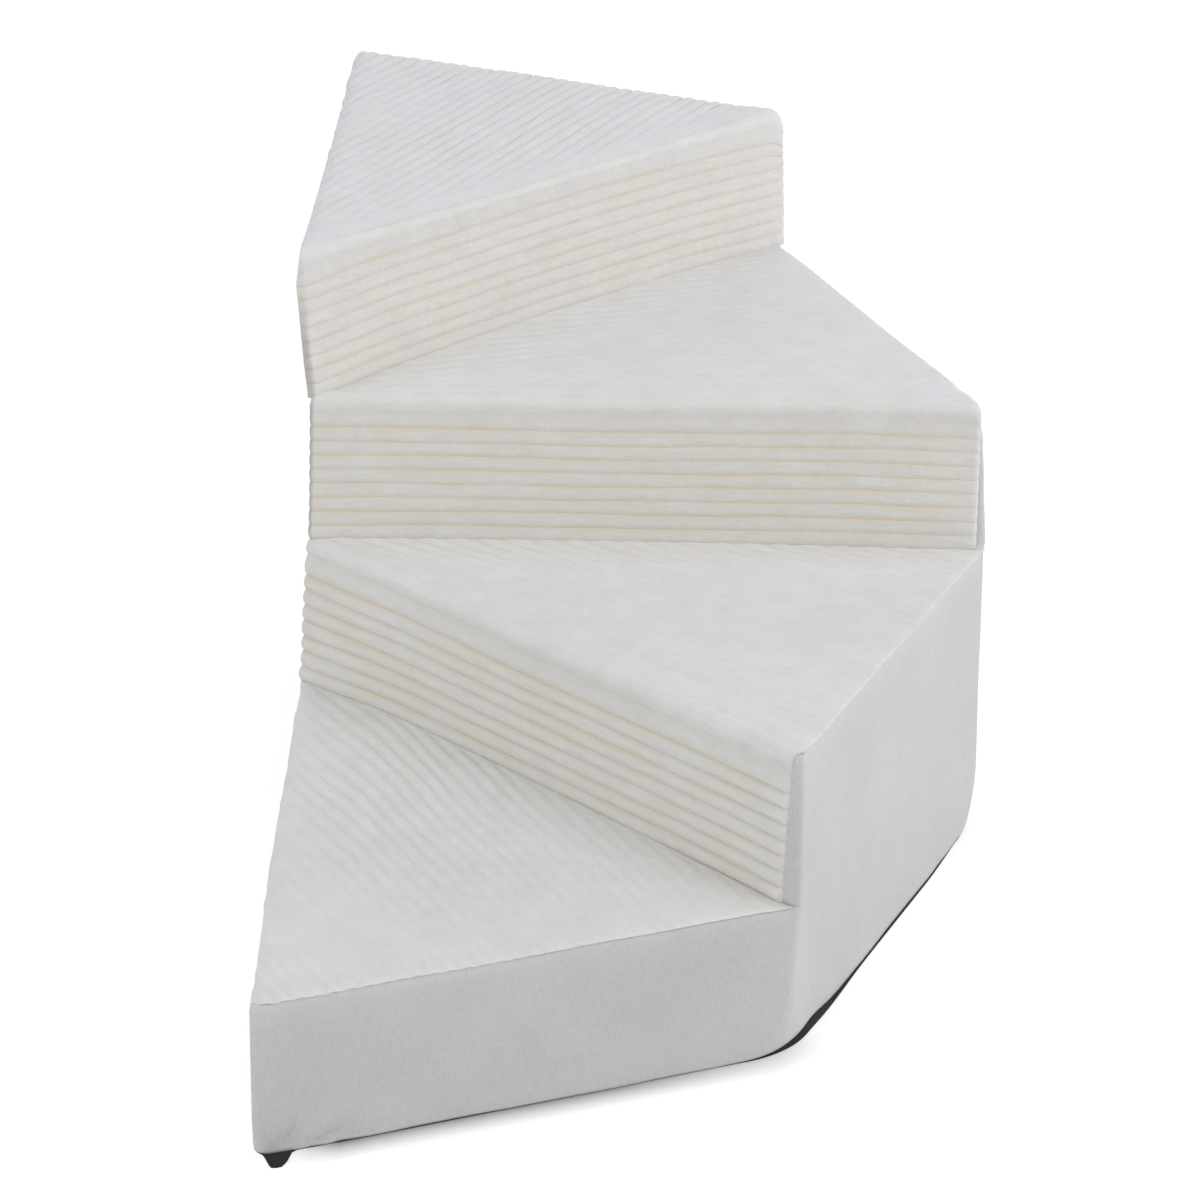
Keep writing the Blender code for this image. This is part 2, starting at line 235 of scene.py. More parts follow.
def laid(u, across, v, along):
    """Plan points at distances along two ways."""
    return u[..., None] * across + v[..., None] * along


def step_angle(step):
    return 180 + (step - 1) * WEDGE


def facet_angle(step):
    return step_angle(step) + WEDGE / 2


def world(plan, z):
    """Points from plan coordinates about the hub to the shared frame."""
    return np.stack([plan[..., 0], plan[..., 1] + HUB_Y, np.broadcast_to(z, plan.shape[:-1])], -1)


def top_of(step):
    return step * RISE + PUFF[step]


def facet_edge(step, z):
    """An outer side of the plan at a height."""
    lean = float(eased(z, LEAN_Z, LEAN[step]))
    turned = facet_angle(step) + TURN[step] * float(smooth(*TURN_SPAN, z))
    return (-ray(turned), -(APOTHEM + lean))


def swollen(points):
    """Move points near the flat back out with its swell, and let the top edges sag."""
    x, depth, z = points[..., 0], HUB_Y - points[..., 1], points[..., 2]
    up = eased(z, SWELL_Z, SWELL_UP, SWELL_EASE)
    hub_step = HUB_STEP * bell(z, RISE, HUB_STEP_HALF)
    low = eased(x, SWELL_X, SWELL_ALONG) * up / SWELL_ALONG[-1]
    low = low + HEEL * fade(*HEEL_Z_SPAN, z) * fade(*HEEL_X_SPAN, x)
    low = low + hub_step * smooth(*HUB_STEP_SPAN, x)
    near = decay(x, SWELL_FADE)
    high = up * near + SWELL_TOP * smooth(*SWELL_TOP_SPAN, z) * (1 - near)
    high = high + hub_step * decay(x, HUB_STEP_FADE)
    high = high + TIP * smooth(*TIP_X_SPAN, x) * smooth(*TIP_Z_SPAN, z)
    moved = points.copy()
    moved[..., 1] += np.where(x < 0, low, high) * fade(0, SWELL_DEPTH, depth)
    for top, limit, inward, radius, from_x in SAGS:
        reach = np.clip((moved[..., 1] - HUB_Y - limit) * inward, 0, radius)
        drop = radius - np.sqrt(radius**2 - (radius - reach) ** 2)
        drop = drop * smooth(top - SAG_LOW, top - SAG_HIGH, z) * (z < top + SAG_OVER)
        moved[..., 2] -= drop * smooth(from_x, from_x + SAG_RUN, x)
    return moved


def meet(edge_a, edge_b, inset=0.0):
    """The plan point at an inset from both edges."""
    return np.linalg.solve(
        np.array([edge_a[0], edge_b[0]]), np.array([edge_a[1] + inset, edge_b[1] + inset])
    )


def inside(points, edges, rounds=()):
    """Signed distance in from a convex plan outline, with rounded corners."""
    distance = np.min([points @ normal - offset for normal, offset in edges], axis=0)
    for i, j, radius in rounds:
        centre = meet(edges[i], edges[j], radius)
        spread = (points - centre) @ np.linalg.inv(-np.array([edges[i][0], edges[j][0]]))
        corner = (spread[..., 0] >= 0) & (spread[..., 1] >= 0)
        distance = np.where(corner, radius - np.linalg.norm(points - centre, axis=-1), distance)
    return distance


# Pieces


def linked(name, data):
    """A new object in the scene."""
    made = bpy.data.objects.new(name, data)
    bpy.context.scene.collection.objects.link(made)
    return made


def placed(name, mesh, body, stands_for):
    """An object that rides on a body and takes the place of CAD nodes."""
    made = linked(name, mesh)
    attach(made, body)
    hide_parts(*stands_for)
    return made


def piece(name, points, faces, look, stands_for, marks=None, flat=()):
    """A named piece of the stairs. Marks are per point, and any points left over get 0."""
    points = np.asarray(points).reshape(-1, 3)
    mesh = bpy.data.meshes.new(name)
    mesh.from_pydata(swollen(points).tolist(), [], faces)
    for label, values in (marks or {}).items():
        layer = mesh.attributes.new(label, "FLOAT", "POINT")
        padded = np.zeros(len(points), np.float32)
        padded[: values.size] = values.ravel()
        layer.data.foreach_set("value", padded)
    shaded = np.ones(len(mesh.polygons), bool)
    shaded[list(flat)] = False
    mesh.polygons.foreach_set("use_smooth", shaded)
    mesh.materials.append(look)
    work = bmesh.new()
    work.from_mesh(mesh)
    bmesh.ops.recalc_face_normals(work, faces=work.faces)
    work.to_mesh(mesh)
    work.free()
    mesh.update()
    return placed(name, mesh, "stairs", stands_for)


def picks(count, stride):
    """Every stride-th index, with the last one."""
    return np.unique(np.append(np.arange(0, count, stride), count - 1))


def grid_faces(index):
    corners = [index[:-1, :-1], index[:-1, 1:], index[1:, 1:], index[1:, :-1]]
    return np.stack(corners, -1).reshape(-1, 4).tolist()


def ring_faces(index):
    """Faces between closed rings, which are rows of point numbers."""
    return grid_faces(np.concatenate([index, index[:, :1]], 1))


def closed_sheet(top, under, row_stride, column_stride):
    """Points and faces of a sheet with a fine upper side and a coarser lower side."""
    rows, columns = top.shape[:2]
    index = np.arange(rows * columns).reshape(rows, columns)
    row_pick, column_pick = picks(rows, row_stride), picks(columns, column_stride)
    low = under[np.ix_(row_pick, column_pick)]
    low_index = rows * columns + np.arange(low.shape[0] * low.shape[1]).reshape(low.shape[:2])
    faces = grid_faces(index) + [face[::-1] for face in grid_faces(low_index)]
    for j in range(len(column_pick) - 1):
        a, b = column_pick[j], column_pick[j + 1]
        faces.append(index[0, a : b + 1][::-1].tolist() + [low_index[0, j], low_index[0, j + 1]])
        faces.append(index[-1, a : b + 1].tolist() + [low_index[-1, j + 1], low_index[-1, j]])
    for i in range(len(row_pick) - 1):
        a, b = row_pick[i], row_pick[i + 1]
        faces.append(index[a : b + 1, 0].tolist() + [low_index[i + 1, 0], low_index[i, 0]])
        far_side = index[a : b + 1, -1][::-1].tolist()
        faces.append(far_side + [low_index[i, -1], low_index[i + 1, -1]])
    return np.concatenate([top.reshape(-1, 3), low.reshape(-1, 3)]), faces


def masked_sheet(outer, inner, shown):
    """Points and faces of a two-sided sheet where only the shown cells of a grid are there."""
    rows, columns = outer.shape[:2]
    used = np.zeros((rows, columns), bool)
    for di in (0, 1):
        for dj in (0, 1):
            used[di : rows - 1 + di, dj : columns - 1 + dj] |= shown
    count = int(used.sum())
    index = np.full((rows, columns), -1)
    index[used] = np.arange(count)
    i, j = np.argwhere(shown).T
    quads = np.stack([index[i, j], index[i, j + 1], index[i + 1, j + 1], index[i + 1, j]], -1)
    faces = quads.tolist() + (quads[:, ::-1] + count).tolist()
    padded = np.pad(shown, 1)
    for di, dj, ends in (
        (-1, 0, ((0, 0), (0, 1))),
        (1, 0, ((1, 1), (1, 0))),
        (0, -1, ((1, 0), (0, 0))),
        (0, 1, ((0, 1), (1, 1))),
    ):
        rim = shown & ~padded[1 + di : rows + di, 1 + dj : columns + dj]
        for a, b in np.argwhere(rim):
            p, q = (index[a + end[0], b + end[1]] for end in ends)
            faces.append([q, p, p + count, q + count])
    return np.concatenate([outer[used], inner[used]]), faces, used


# Materials


class Look:
    """A shader node tree, built with short calls."""

    def __init__(self, owner, output="OutputMaterial"):
        owner.use_nodes = True
        self.owner, self.tree = owner, owner.node_tree
        self.tree.nodes.clear()
        self.output = self.node(output)

    def node(self, kind, inputs=None, **settings):
        made = self.tree.nodes.new("ShaderNode" + kind)
        for key, value in settings.items():
            setattr(made, key, value)
        for key, value in (inputs or {}).items():
            if isinstance(value, bpy.types.NodeSocket):
                self.tree.links.new(value, made.inputs[key])
            else:
                made.inputs[key].default_value = value
        return made

    def place(self, scale=(1, 1, 1)):
        where = self.node("TexCoord").outputs["Object"]
        return self.node("Mapping", {"Vector": where, "Scale": scale}).outputs["Vector"]

    def noise(self, vector, scale, detail=2.0, roughness=0.5):
        inputs = {"Vector": vector, "Scale": scale, "Detail": detail, "Roughness": roughness}
        return self.node("TexNoise", inputs).outputs["Fac"]

    def math(self, operation, *values):
        return self.node("Math", dict(enumerate(values)), operation=operation).outputs[0]

    def span(self, value, low, high, to_low=0.0, to_high=1.0):
        names = ("Value", "From Min", "From Max", "To Min", "To Max")
        inputs = dict(zip(names, (value, low, high, to_low, to_high)))
        return self.node("MapRange", inputs).outputs["Result"]

    def mix(self, factor, a, b, blend="MIX"):
        inputs = {"Factor": factor, 6: a, 7: b}
        settings = {"data_type": "RGBA", "blend_type": blend, "clamp_factor": True}
        return self.node("Mix", inputs, **settings).outputs[2]

    def times(self, colour, factor):
        return self.mix(1.0, colour, factor, "MULTIPLY")

    def bump(self, height, distance, strength=1.0, normal=None):
        inputs = {"Height": height, "Distance": distance, "Strength": strength}
        if normal is not None:
            inputs["Normal"] = normal
        return self.node("Bump", inputs).outputs["Normal"]

    def mark(self, name):
        return self.node("Attribute", attribute_name=name).outputs["Fac"]

    def seen(self):
        """1 for rays from the camera, a mirror or glass, and 0 for rays that bring light."""
        path = self.node("LightPath").outputs
        seen = self.math("MAXIMUM", path["Is Camera Ray"], path["Is Glossy Ray"])
        return self.math("MAXIMUM", seen, path["Is Transmission Ray"])

    def show(self, shader):
        self.tree.links.new(shader.outputs[0], self.output.inputs["Surface"])
        return self.owner

    def surface(self, **inputs):
        inputs = {key.replace("_", " "): value for key, value in inputs.items()}
        return self.show(self.node("BsdfPrincipled", inputs))


def material(name):
    return Look(bpy.data.materials.new(name))


def rgb(r, g, b):
    return (r, g, b, 1.0)


WHITE = rgb(1.0, 1.0, 1.0)


def plush_look():
    look = material("plush_look")
    where = look.place()
    across = look.math("MULTIPLY", look.mark("across"), 9.0)
    lay = look.node("CombineXYZ", {"X": across, "Y": look.mark("along")}).outputs[0]
    brushed = look.noise(lay, 42.0, 3.0, 0.6)
    patches = look.noise(where, 38.0, 4.0, 0.6)
    tufts = look.noise(where, 210.0, 2.0, 0.6)
    fibres = look.noise(where, 1300.0, 2.0, 0.6)
    spots = look.span(patches, 0.3, 0.7)
    pale = look.mix(spots, rgb(0.70, 0.697, 0.685), rgb(0.745, 0.743, 0.735))
    # Painted shade: a darker, warmer colour in the rib grooves and creases, where the relief is in
    # shade.
    groove_shade_colour = look.mix(tufts, rgb(0.715, 0.645, 0.55), rgb(0.74, 0.69, 0.615))
    ragged = look.math(
        "MULTIPLY_ADD", look.math("SUBTRACT", tufts, 0.5), 0.35, look.mark("groove")
    )
    colour = look.mix(look.span(ragged, 0.14, 0.9), pale, groove_shade_colour)
    # Painted shade: dark grey on the rolled ends of the risers at the hub.
    colour = look.mix(look.mark("edge_shade"), colour, rgb(0.36, 0.36, 0.37))
    colour = look.times(colour, look.span(brushed, 0.3, 0.7, 0.975, 1.02))
    colour = look.times(colour, look.span(fibres, 0.25, 0.75, 0.945, 1.035))
    normal = look.bump(brushed, 0.0012, 0.3)
    normal = look.bump(tufts, 0.0007, 0.5, normal)
    normal = look.bump(fibres, 0.0005, 0.6, normal)
    return look.surface(
        Base_Color=colour,
        Roughness=look.span(tufts, 0.3, 0.7, 0.9, 1.0),
        Specular_IOR_Level=0.15,
        Subsurface_Weight=0.3,
        Subsurface_Radius=(1.0, 0.62, 0.42),
        Subsurface_Scale=0.0025,
        Sheen_Weight=0.12,
        Sheen_Roughness=0.55,
        Sheen_Tint=rgb(1.0, 0.99, 0.97),
        Normal=normal,
    )


def velvet_look():
    look = material("velvet_look")
    where = look.place()
    grain = look.noise(look.place((1.0, 1.0, 0.45)), 620.0, 3.0, 0.65)
    patches = look.noise(where, 11.0, 3.0, 0.55)
    pile = look.noise(where, 1700.0, 1.0, 0.5)
    spots = look.span(patches, 0.3, 0.7)
    colour = look.mix(spots, rgb(0.56, 0.557, 0.57), rgb(0.60, 0.598, 0.614))
    colour = look.times(colour, look.span(grain, 0.25, 0.75, 0.92, 1.06))
    # Painted highlight: the velvet is lighter where the mark is high.
    colour = look.times(colour, look.span(look.mark("light"), 0.0, 1.0, 1.0, 1.09))
    return look.surface(
        Base_Color=colour,
        Roughness=look.span(pile, 0.2, 0.8, 0.82, 0.98),
        Specular_IOR_Level=0.2,
        Sheen_Weight=0.35,
        Sheen_Roughness=0.4,
        Sheen_Tint=rgb(1.0, 0.99, 1.0),
        Normal=look.bump(pile, 0.00025, 0.5, look.bump(grain, 0.0004, 0.5)),
    )


def foam_look():
    look = material("foam_look")
    where = look.place()
    cells = look.node("TexVoronoi", {"Vector": where, "Scale": 650.0}).outputs["Distance"]
    patches = look.noise(where, 9.0, 2.0)
    colour = look.mix(patches, rgb(0.82, 0.74, 0.53), rgb(0.88, 0.81, 0.62))
    return look.surface(
        # Painted shade: the cell centres are darker, as shade in the foam's pores.
        Base_Color=look.mix(look.span(cells, 0.1, 0.5), rgb(0.55, 0.46, 0.30), colour),
        Roughness=look.span(patches, 0.2, 0.8, 0.92, 1.0),
        Specular_IOR_Level=0.2,
        Normal=look.bump(cells, 0.0008, 0.8),
    )


def base_look():
    look = material("base_look")
    dots = look.mark("dots")
    weave = look.noise(look.place((1.0, 0.35, 1.0)), 1500.0, 2.0)
    scuffs = look.noise(look.place(), 40.0, 4.0, 0.65)
    cloth = look.mix(weave, rgb(0.012, 0.012, 0.013), rgb(0.03, 0.03, 0.031))
    rubber = look.mix(scuffs, rgb(0.014, 0.014, 0.014), rgb(0.034, 0.033, 0.033))
    return look.surface(
        Base_Color=look.mix(dots, cloth, rubber),
        Roughness=look.span(dots, 0.0, 1.0, 0.95, 0.55),
        Specular_IOR_Level=0.3,
        Normal=look.bump(weave, 0.0003, 0.6),
    )


def tape_look():
    look = material("tape_look")
    inputs = {"Vector": look.place(), "Scale": 420.0, "Distortion": 1.2, "Detail": 1.0}
    settings = {"wave_type": "BANDS", "bands_direction": "DIAGONAL"}
    weave = look.node("TexWave", inputs, **settings).outputs["Fac"]
    fray = look.noise(look.place(), 1600.0, 2.0)
    colour = look.mix(weave, rgb(0.36, 0.35, 0.36), rgb(0.46, 0.45, 0.46))
    return look.surface(
        Base_Color=look.times(colour, look.span(fray, 0.2, 0.8, 0.93, 1.06)),
        Roughness=look.span(fray, 0.2, 0.8, 0.78, 0.95),
        Specular_IOR_Level=0.25,
        Normal=look.bump(weave, 0.0002, 0.7),
    )


def nylon_look():
    look = material("nylon_look")
    scuffs = look.noise(look.place(), 500.0, 3.0)
    return look.surface(
        Base_Color=look.mix(scuffs, rgb(0.37, 0.36, 0.37), rgb(0.45, 0.44, 0.45)),
        Roughness=look.span(scuffs, 0.3, 0.7, 0.38, 0.56),
        Normal=look.bump(scuffs, 0.0001, 0.3),
    )


def nickel_look():
    look = material("nickel_look")
    brushed = look.noise(look.place((0.08, 1.0, 1.0)), 2600.0, 2.0)
    wear = look.noise(look.place(), 300.0, 4.0, 0.6)
    grained = look.span(brushed, 0.3, 0.7, 0.2, 0.34)
    return look.surface(
        Base_Color=look.mix(wear, rgb(0.56, 0.55, 0.53), rgb(0.70, 0.69, 0.67)),
        Metallic=1.0,
        Roughness=look.math("ADD", grained, look.span(wear, 0.4, 0.8, 0.0, 0.12)),
        Normal=look.bump(brushed, 0.00006, 0.3),
    )


PLUSH = plush_look()
VELVET = velvet_look()
FOAM = foam_look()
BASE = base_look()
TAPE = tape_look()
NYLON = nylon_look()
NICKEL = nickel_look()

# Plush treads

RIB_CUTS = np.array([0.0, 0.03, 0.09, 0.18, 0.3, 0.42, 0.58, 0.7, 0.82, 0.91, 0.97])
RIBS_EACH_WAY = 24
TREAD_RIB = 0.0026
TREAD_TILT = {1: 5.0, 2: -9.0, 3: -4.0, 4: -3.0}
TREAD_RIB_SHARE = {1: 0.16, 2: 0.13, 3: 0.12, 4: 0.60}
# On tread 1 the ribs stand out more near the hub and at the low end.
RIB_PATCH, RIB_PATCH_X, RIB_PATCH_Y, RIB_END_X = 0.30, (-0.17, 0.12), (-0.07, 0.07), (-0.47, 0.08)
NOSE_START = 0.006
NOSE_DIP = {2: 0.0012, 3: 0.0008, 4: 0.0004}
CREASE_UNDER = 0.0085
OVERHANG = {1: 0.0005, 2: -0.0002, 3: -0.0006, 4: 0.0010}
CORNER = 0.005
TREAD_CORNER = 0.009
START_CORNER = {1: TREAD_CORNER, 2: 0.005, 3: 0.005, 4: 0.007}
END_CORNER = {1: 0.005, 2: 0.005, 3: 0.005, 4: TREAD_CORNER}
BACK_LIMIT = {2: -0.002, 3: 0.0005}
# Cuts along a rib, at its near end, between and at its far end, and how far the ends reach.
TREAD_CUTS = (14, 128, 9)
TREAD_REACHES, TREAD_REACH_SHARE = (0.024, 0.010), 0.42
# Gathers where a tread runs under a riser, which die away at the outer side.
GATHERS = {1: 0.10, 2: 0.70, 3: 0.45}
GATHER_REACH, GATHER_SPAN, GATHER_EDGE = 0.030, (0.006, 0.040), 0.003
GATHER_START_SPAN = (-0.003, 0.003)
# Waves: the ribs' sway, the tread's unevenness, and the ragged rim.
TREAD_SWAY = ((0.0022, (0.09, 0.13), 40, 3), (0.0009, (0.02, 0.05), 50, 1))
TREAD_WAVES = ((0.0010, 0.09, 70, 3), (0.0003, 0.006, 75, 2))
RIM_WAVE, RIM_WAVE_SPAN = (0.0004, 0.02), (0, 0.008)
RIM_FRAY, RIM_FRAY_SPAN = (0.0002, 0.008), (0, 0.006)
BACK_WAVE, BACK_WAVE_WIDTH, BACK_WAVE_SPAN = 0.0011, 0.016, (0, 0.02)
RIB_BULGE = 0.0003
# How the rim rolls over: reach and fall.
RIM_ROLL, BACK_ROLL = (0.009, EDGE_DROP - 0.0016), (0.013, BACK_DROP - 0.0004)
# The nose, by distance from its edge: where ribs start, its fall, its crest, its dip.
NOSE_RIB_SPAN = (0.008, 0.034)
NOSE_FALL, NOSE_FALL_SPAN = 0.0012, (0, 0.014)
NOSE_CREST, NOSE_CREST_AT, NOSE_DIP_AT = 0.0006, (0.012, 0.008), (0.029, 0.009)
# The crease at the next riser, by distance ahead of it.
CREASE_SPAN = (-0.002, 0.014)
CREASE_RAISE, CREASE_START, CREASE_REACH = 0.0010, 0.002, 0.013
CREASE_TUCK, CREASE_TUCK_SPAN = 0.0010, (-0.0075, -0.0026)
# Painted shade in the crease at the foot of the next riser.
CREASE_SHADE, CREASE_SHADE_SPAN = 0.9, (-0.003, 0.0018)
UNDER_STRIDE = 6
# Along each riser from the hub: how far the tread below climbs it, and how far it bows back.
RISER_ALONG = np.array([0.0, 0.08, 0.24, 0.40, 0.50])
CLIMB = {
    2: [0.0005, 0.0015, 0.0018, 0.0008, -0.0010],
    3: [0.0045, 0.0045, 0.0038, 0.0020, 0.0],
    4: [0.0, 0.0035, 0.0060, 0.0045, 0.0010],
}
RISER_BOW = {
    2: [0.0, -0.0005, -0.0010, -0.0008, 0.0],
    3: [0.0, -0.0010, -0.0015, -0.0010, 0.0],
    4: [0.0, -0.0035, -0.0050, -0.0040, 0.0],
}


def rib_form(fraction, flat, power):
    """Height of a rib across its width: 1 at the crest and 0 in the groove."""
    s = np.abs(2 * fraction - 1)
    return np.maximum(1 - s**flat, 0) ** power


def fold_form(fraction):
    """Height of a soft fold across its width."""
    return 0.5 - 0.5 * np.cos(2 * math.pi * fraction)


def tread_edges(step):
    """A tread's outline and its rounded corners. The edges start, end and outer come first."""
    normal, offset = facet_edge(step, step * RISE)
    outer = (normal, offset - OVERHANG[step])
    start = BACK if step == 1 else (-facing(step_angle(step)), NOSE_START)
    end = BACK if step == STEPS else (facing(step_angle(step + 1)), -CREASE_UNDER)
    edges = [start, end, outer]
    if step < STEPS:
        edges.append(facet_edge(step + 1, step * RISE))
    if step in BACK_LIMIT:
        edges.append((BACK[0], BACK_LIMIT[step]))
    return edges, [(0, 2, START_CORNER[step]), (1, 2, END_CORNER[step])]


def chords(edges, rounds, along, across, columns):
    """Where each line across the plan enters and leaves the outline."""
    v = np.arange(-0.03, 0.53, 0.00025)
    points = columns[:, None, None] * across + v[None, :, None] * along
    d = inside(points, edges, rounds)
    there = d > 0
    first = np.maximum(there.argmax(1), 1)
    last = np.minimum(len(v) - 1 - there[:, ::-1].argmax(1), len(v) - 2)
    rows = np.arange(len(columns))
    step = v[1] - v[0]
    low = v[first] - step * d[rows, first] / (d[rows, first] - d[rows, first - 1])
    high = v[last] + step * d[rows, last] / (d[rows, last] - d[rows, last + 1])
    return low, high, there.sum(1) > 2


def tread_columns(outline, ways, shift):
    """Lines along the ribs, out to the tips of the tread, and where each starts and ends."""
    ribs = np.arange(-RIBS_EACH_WAY, RIBS_EACH_WAY)
    columns = ((ribs[:, None] + RIB_CUTS).ravel() + shift) * PITCH
    columns = columns[chords(*outline, *ways, columns)[2]]
    tips = []
    for sign, edge in ((-1, columns[0]), (1, columns[-1])):
        reach = 0.0
        for halving in range(14):
            trial = reach + 0.004 / 2**halving
            if chords(*outline, *ways, np.array([edge + sign * trial]))[2][0]:
                reach = trial
        tips.append(edge + sign * reach * np.array([0.5, 0.8, 0.95, 1.0]))
    columns = np.sort(np.concatenate([tips[0], columns, tips[1]]))
    low, high, there = chords(*outline, *ways, columns)
    return columns[there], low[there], high[there]


def plush_tread(step):
    at_back = step in (1, STEPS)
    edges, rounds = tread_edges(step)
    start, end, outer = edges[:3]
    along = ray(facet_angle(step) + TREAD_TILT[step])
    across = np.array([-along[1], along[0]])
    shift = 0.3 + 0.17 * step
    columns, low, high = tread_columns((edges, rounds), (along, across), shift)
    number = columns / PITCH
    fraction = np.mod(number - shift, 1.0)
    form = rib_form(fraction, 2.6, 0.7) if step == STEPS else fold_form(fraction)
    high = high + RIB_BULGE * (form - 0.6) * smooth(0, 0.02, high - low)
    reaches = [np.minimum(reach, TREAD_REACH_SHARE * (high - low)) for reach in TREAD_REACHES]
    v = spaced(low, high, reaches, TREAD_CUTS)
    u = np.broadcast_to(columns, v.shape)
    depth_in = inside(laid(u, across, v, along), edges, rounds)
    u = u + ripples(u, v, TREAD_SWAY, step) * smooth(0.0, 0.03, depth_in)
    plan = laid(u, across, v, along)
    x, y = plan[..., 0], plan[..., 1]
    if at_back:
        wave = BACK_WAVE * noise(x / BACK_WAVE_WIDTH, 0.4, 85 + step)
        plan[..., 1] += wave * fade(*BACK_WAVE_SPAN, -y)

    from_start = plan @ start[0] - start[1]
    from_end = plan @ end[0] - end[1]
    from_outer = np.maximum(plan @ outer[0] - outer[1], 0)
    free = ([outer, BACK], [(0, 1, TREAD_CORNER)]) if at_back else ([outer],)
    from_free = np.maximum(inside(plan, *free), 0)

    share = np.full(v.shape, TREAD_RIB_SHARE[step])
    if step == 1:
        share += RIB_PATCH * bell(x, *RIB_PATCH_X) * bell(y, *RIB_PATCH_Y)
        share += RIB_PATCH * bell(x, *RIB_END_X)
    share = share * (1 + 0.5 * fbm(number[None] * 0.7, v / 0.06, 60 + step))
    share = share * (1 + ripple(x, y, 0.5, 0.13, 65 + step, 2))
    z = np.full(v.shape, top_of(step))
    z += ripples(x, y, TREAD_WAVES, step)
    fall = roll(from_free, *RIM_ROLL)
    if at_back:
        fall = np.maximum(fall, roll(np.maximum(-y, 0), *BACK_ROLL))
    z -= fall
    z += ripple(u, v, *RIM_WAVE, 80 + step, 1) * fade(*RIM_WAVE_SPAN, from_free)
    z += ripple(u, v, *RIM_FRAY, 82 + step) * fade(*RIM_FRAY_SPAN, from_free)
    if step > 1:
        share = share * (0.05 + 0.95 * smooth(*NOSE_RIB_SPAN, from_start))
        z -= NOSE_FALL * fade(*NOSE_FALL_SPAN, from_start)
        z += NOSE_CREST * bell(from_start, *NOSE_CREST_AT)
        z -= NOSE_DIP[step] * bell(from_start, *NOSE_DIP_AT)
    groove = np.zeros(v.shape)
    if step < STEPS:
        hubward = plan @ ray(step_angle(step + 1))
        ahead = from_end - CREASE_UNDER - eased(hubward, RISER_ALONG, RISER_BOW[step + 1])
        inboard = smooth(*GATHER_SPAN, from_outer)
        share = share + GATHERS[step] * decay(ahead, GATHER_REACH) * inboard
        climb = eased(hubward, RISER_ALONG, CLIMB[step + 1]) - PUFF[step]
        z = top_of(step) + (z - top_of(step)) * smooth(*CREASE_SPAN, ahead)
        z += (climb + CREASE_RAISE) * decay(ahead - CREASE_START, CREASE_REACH)
        z -= CREASE_TUCK * fade(*CREASE_TUCK_SPAN, ahead)
        # Painted shade in the crease where the tread runs under the riser.
        groove = CREASE_SHADE * fade(*CREASE_SHADE_SPAN, ahead)
        share = share * smooth(*GATHER_START_SPAN, ahead - GATHER_EDGE * (1 - inboard))
    z -= TREAD_RIB * share * (1 - form)
    # Painted shade in the grooves between the ribs.
    groove = np.maximum(groove, (1 - form) ** 1.6 * share * 0.6)

    under_plan = plan - 0.0018 * (plan - plan.mean((0, 1))) / 0.2
    low_side = top_of(step) - TREAD_DROP
    low_side = low_side + (TREAD_DROP - EDGE_DROP + 0.0002) * (from_outer < 0.006)
    under = world(under_plan, np.minimum(low_side, z - 0.0006))
    points, faces = closed_sheet(world(plan, z), under, UNDER_STRIDE, UNDER_STRIDE)
    marks = {"groove": groove, "across": u + step, "along": v}
    name, node = f"plush_tread_{step}", f"tread_panel_{step}"
    made = piece(name, points, faces, PLUSH, [node], marks)


# Plush risers

WALES = {2: 8, 3: 9, 4: 9}
WALE_CUTS = np.array([0.0, 0.03, 0.08, 0.16, 0.27, 0.4, 0.55, 0.7, 0.83, 0.92, 0.97])
FOOT_CUTS, NOSE_CUTS = 4, 26
# Cuts along a riser, at the hub's end, between and at the outer end, and the ends' reach.
RISER_CUTS, RISER_REACH = (10, 290, 10), 0.005
RISER_RIB = {2: 0.0023, 3: 0.0009, 4: 0.0011}
# Painted shade in the grooves between the wales, on each riser.
GROOVE_SHADE = {2: 1.0, 3: 1.0, 4: 0.85}
TOP_RELIEF = {2: 0.0020, 3: 0.0004, 4: 0.0004}
# Painted shade in the groove under the nose, on each riser.
TOP_SHADE = {2: 0.5, 3: 0.32, 4: 0.15}
TOP_RAISE = {2: 0.0040, 3: 0.0, 4: 0.0}
NOSE_ROLL = {2: 0.0014, 3: 0.0010, 4: 0.0004}
NOSE = 0.009
NOSE_ARC = NOSE * math.pi / 2
NOSE_LOW = -0.012
NOSE_FLAT = 0.0075
NOSE_SLOPE = 0.09
NOSE_ROLL_IN, NOSE_ROLL_OUT = (0.002, 0.008), (0.011, 0.024)
RISER_WAVES = ((0.0006, 0.08, 140, 3), (0.00025, 0.006, 145, 2))
WANDER, WALE_WANDER, WANDER_SPAN = 0.0011, 0.0006, (0, 0.03)
# The painted shade under the nose fades out over the second span.
TOP_SPAN, TOP_SHADE_SPAN, LAST_WALE = (0, 0.0028), (0, 0.0015), 0.4
FOOT_IN, FOOT_DOWN = 0.0040, 0.0008
# How far the ends roll back, and how much of that is lost over the nose.
START_ROLL, END_ROLL = 0.0062, 0.0046
START_EASE = {2: 0.8, 3: 0.8, 4: 0.0}
END_EASE = {2: 0.85, 3: 0.3, 4: 0.3}
# Where each riser starts and ends, at its foot and at its top.
RISER_START = {2: (-0.0065, -0.0045), 3: (0.0, -0.0025), 4: (0.0015, 0.0015)}
RISER_END = {2: (0.4930, 0.4995), 3: (0.4985, 0.4985), 4: (0.5080, 0.5045)}
RISER_TOP_ROUND = {2: 0.0, 3: 0.002, 4: 0.003}
# The nose of riser 2 reaches out over the wall. The others follow their facet back.
NOSE_OUT = ([0, 0.36, 0.6, 0.78, 1], [0, 0.0005, 0.0025, 0.0030, 0])
FACET_SLOPE = 0.414
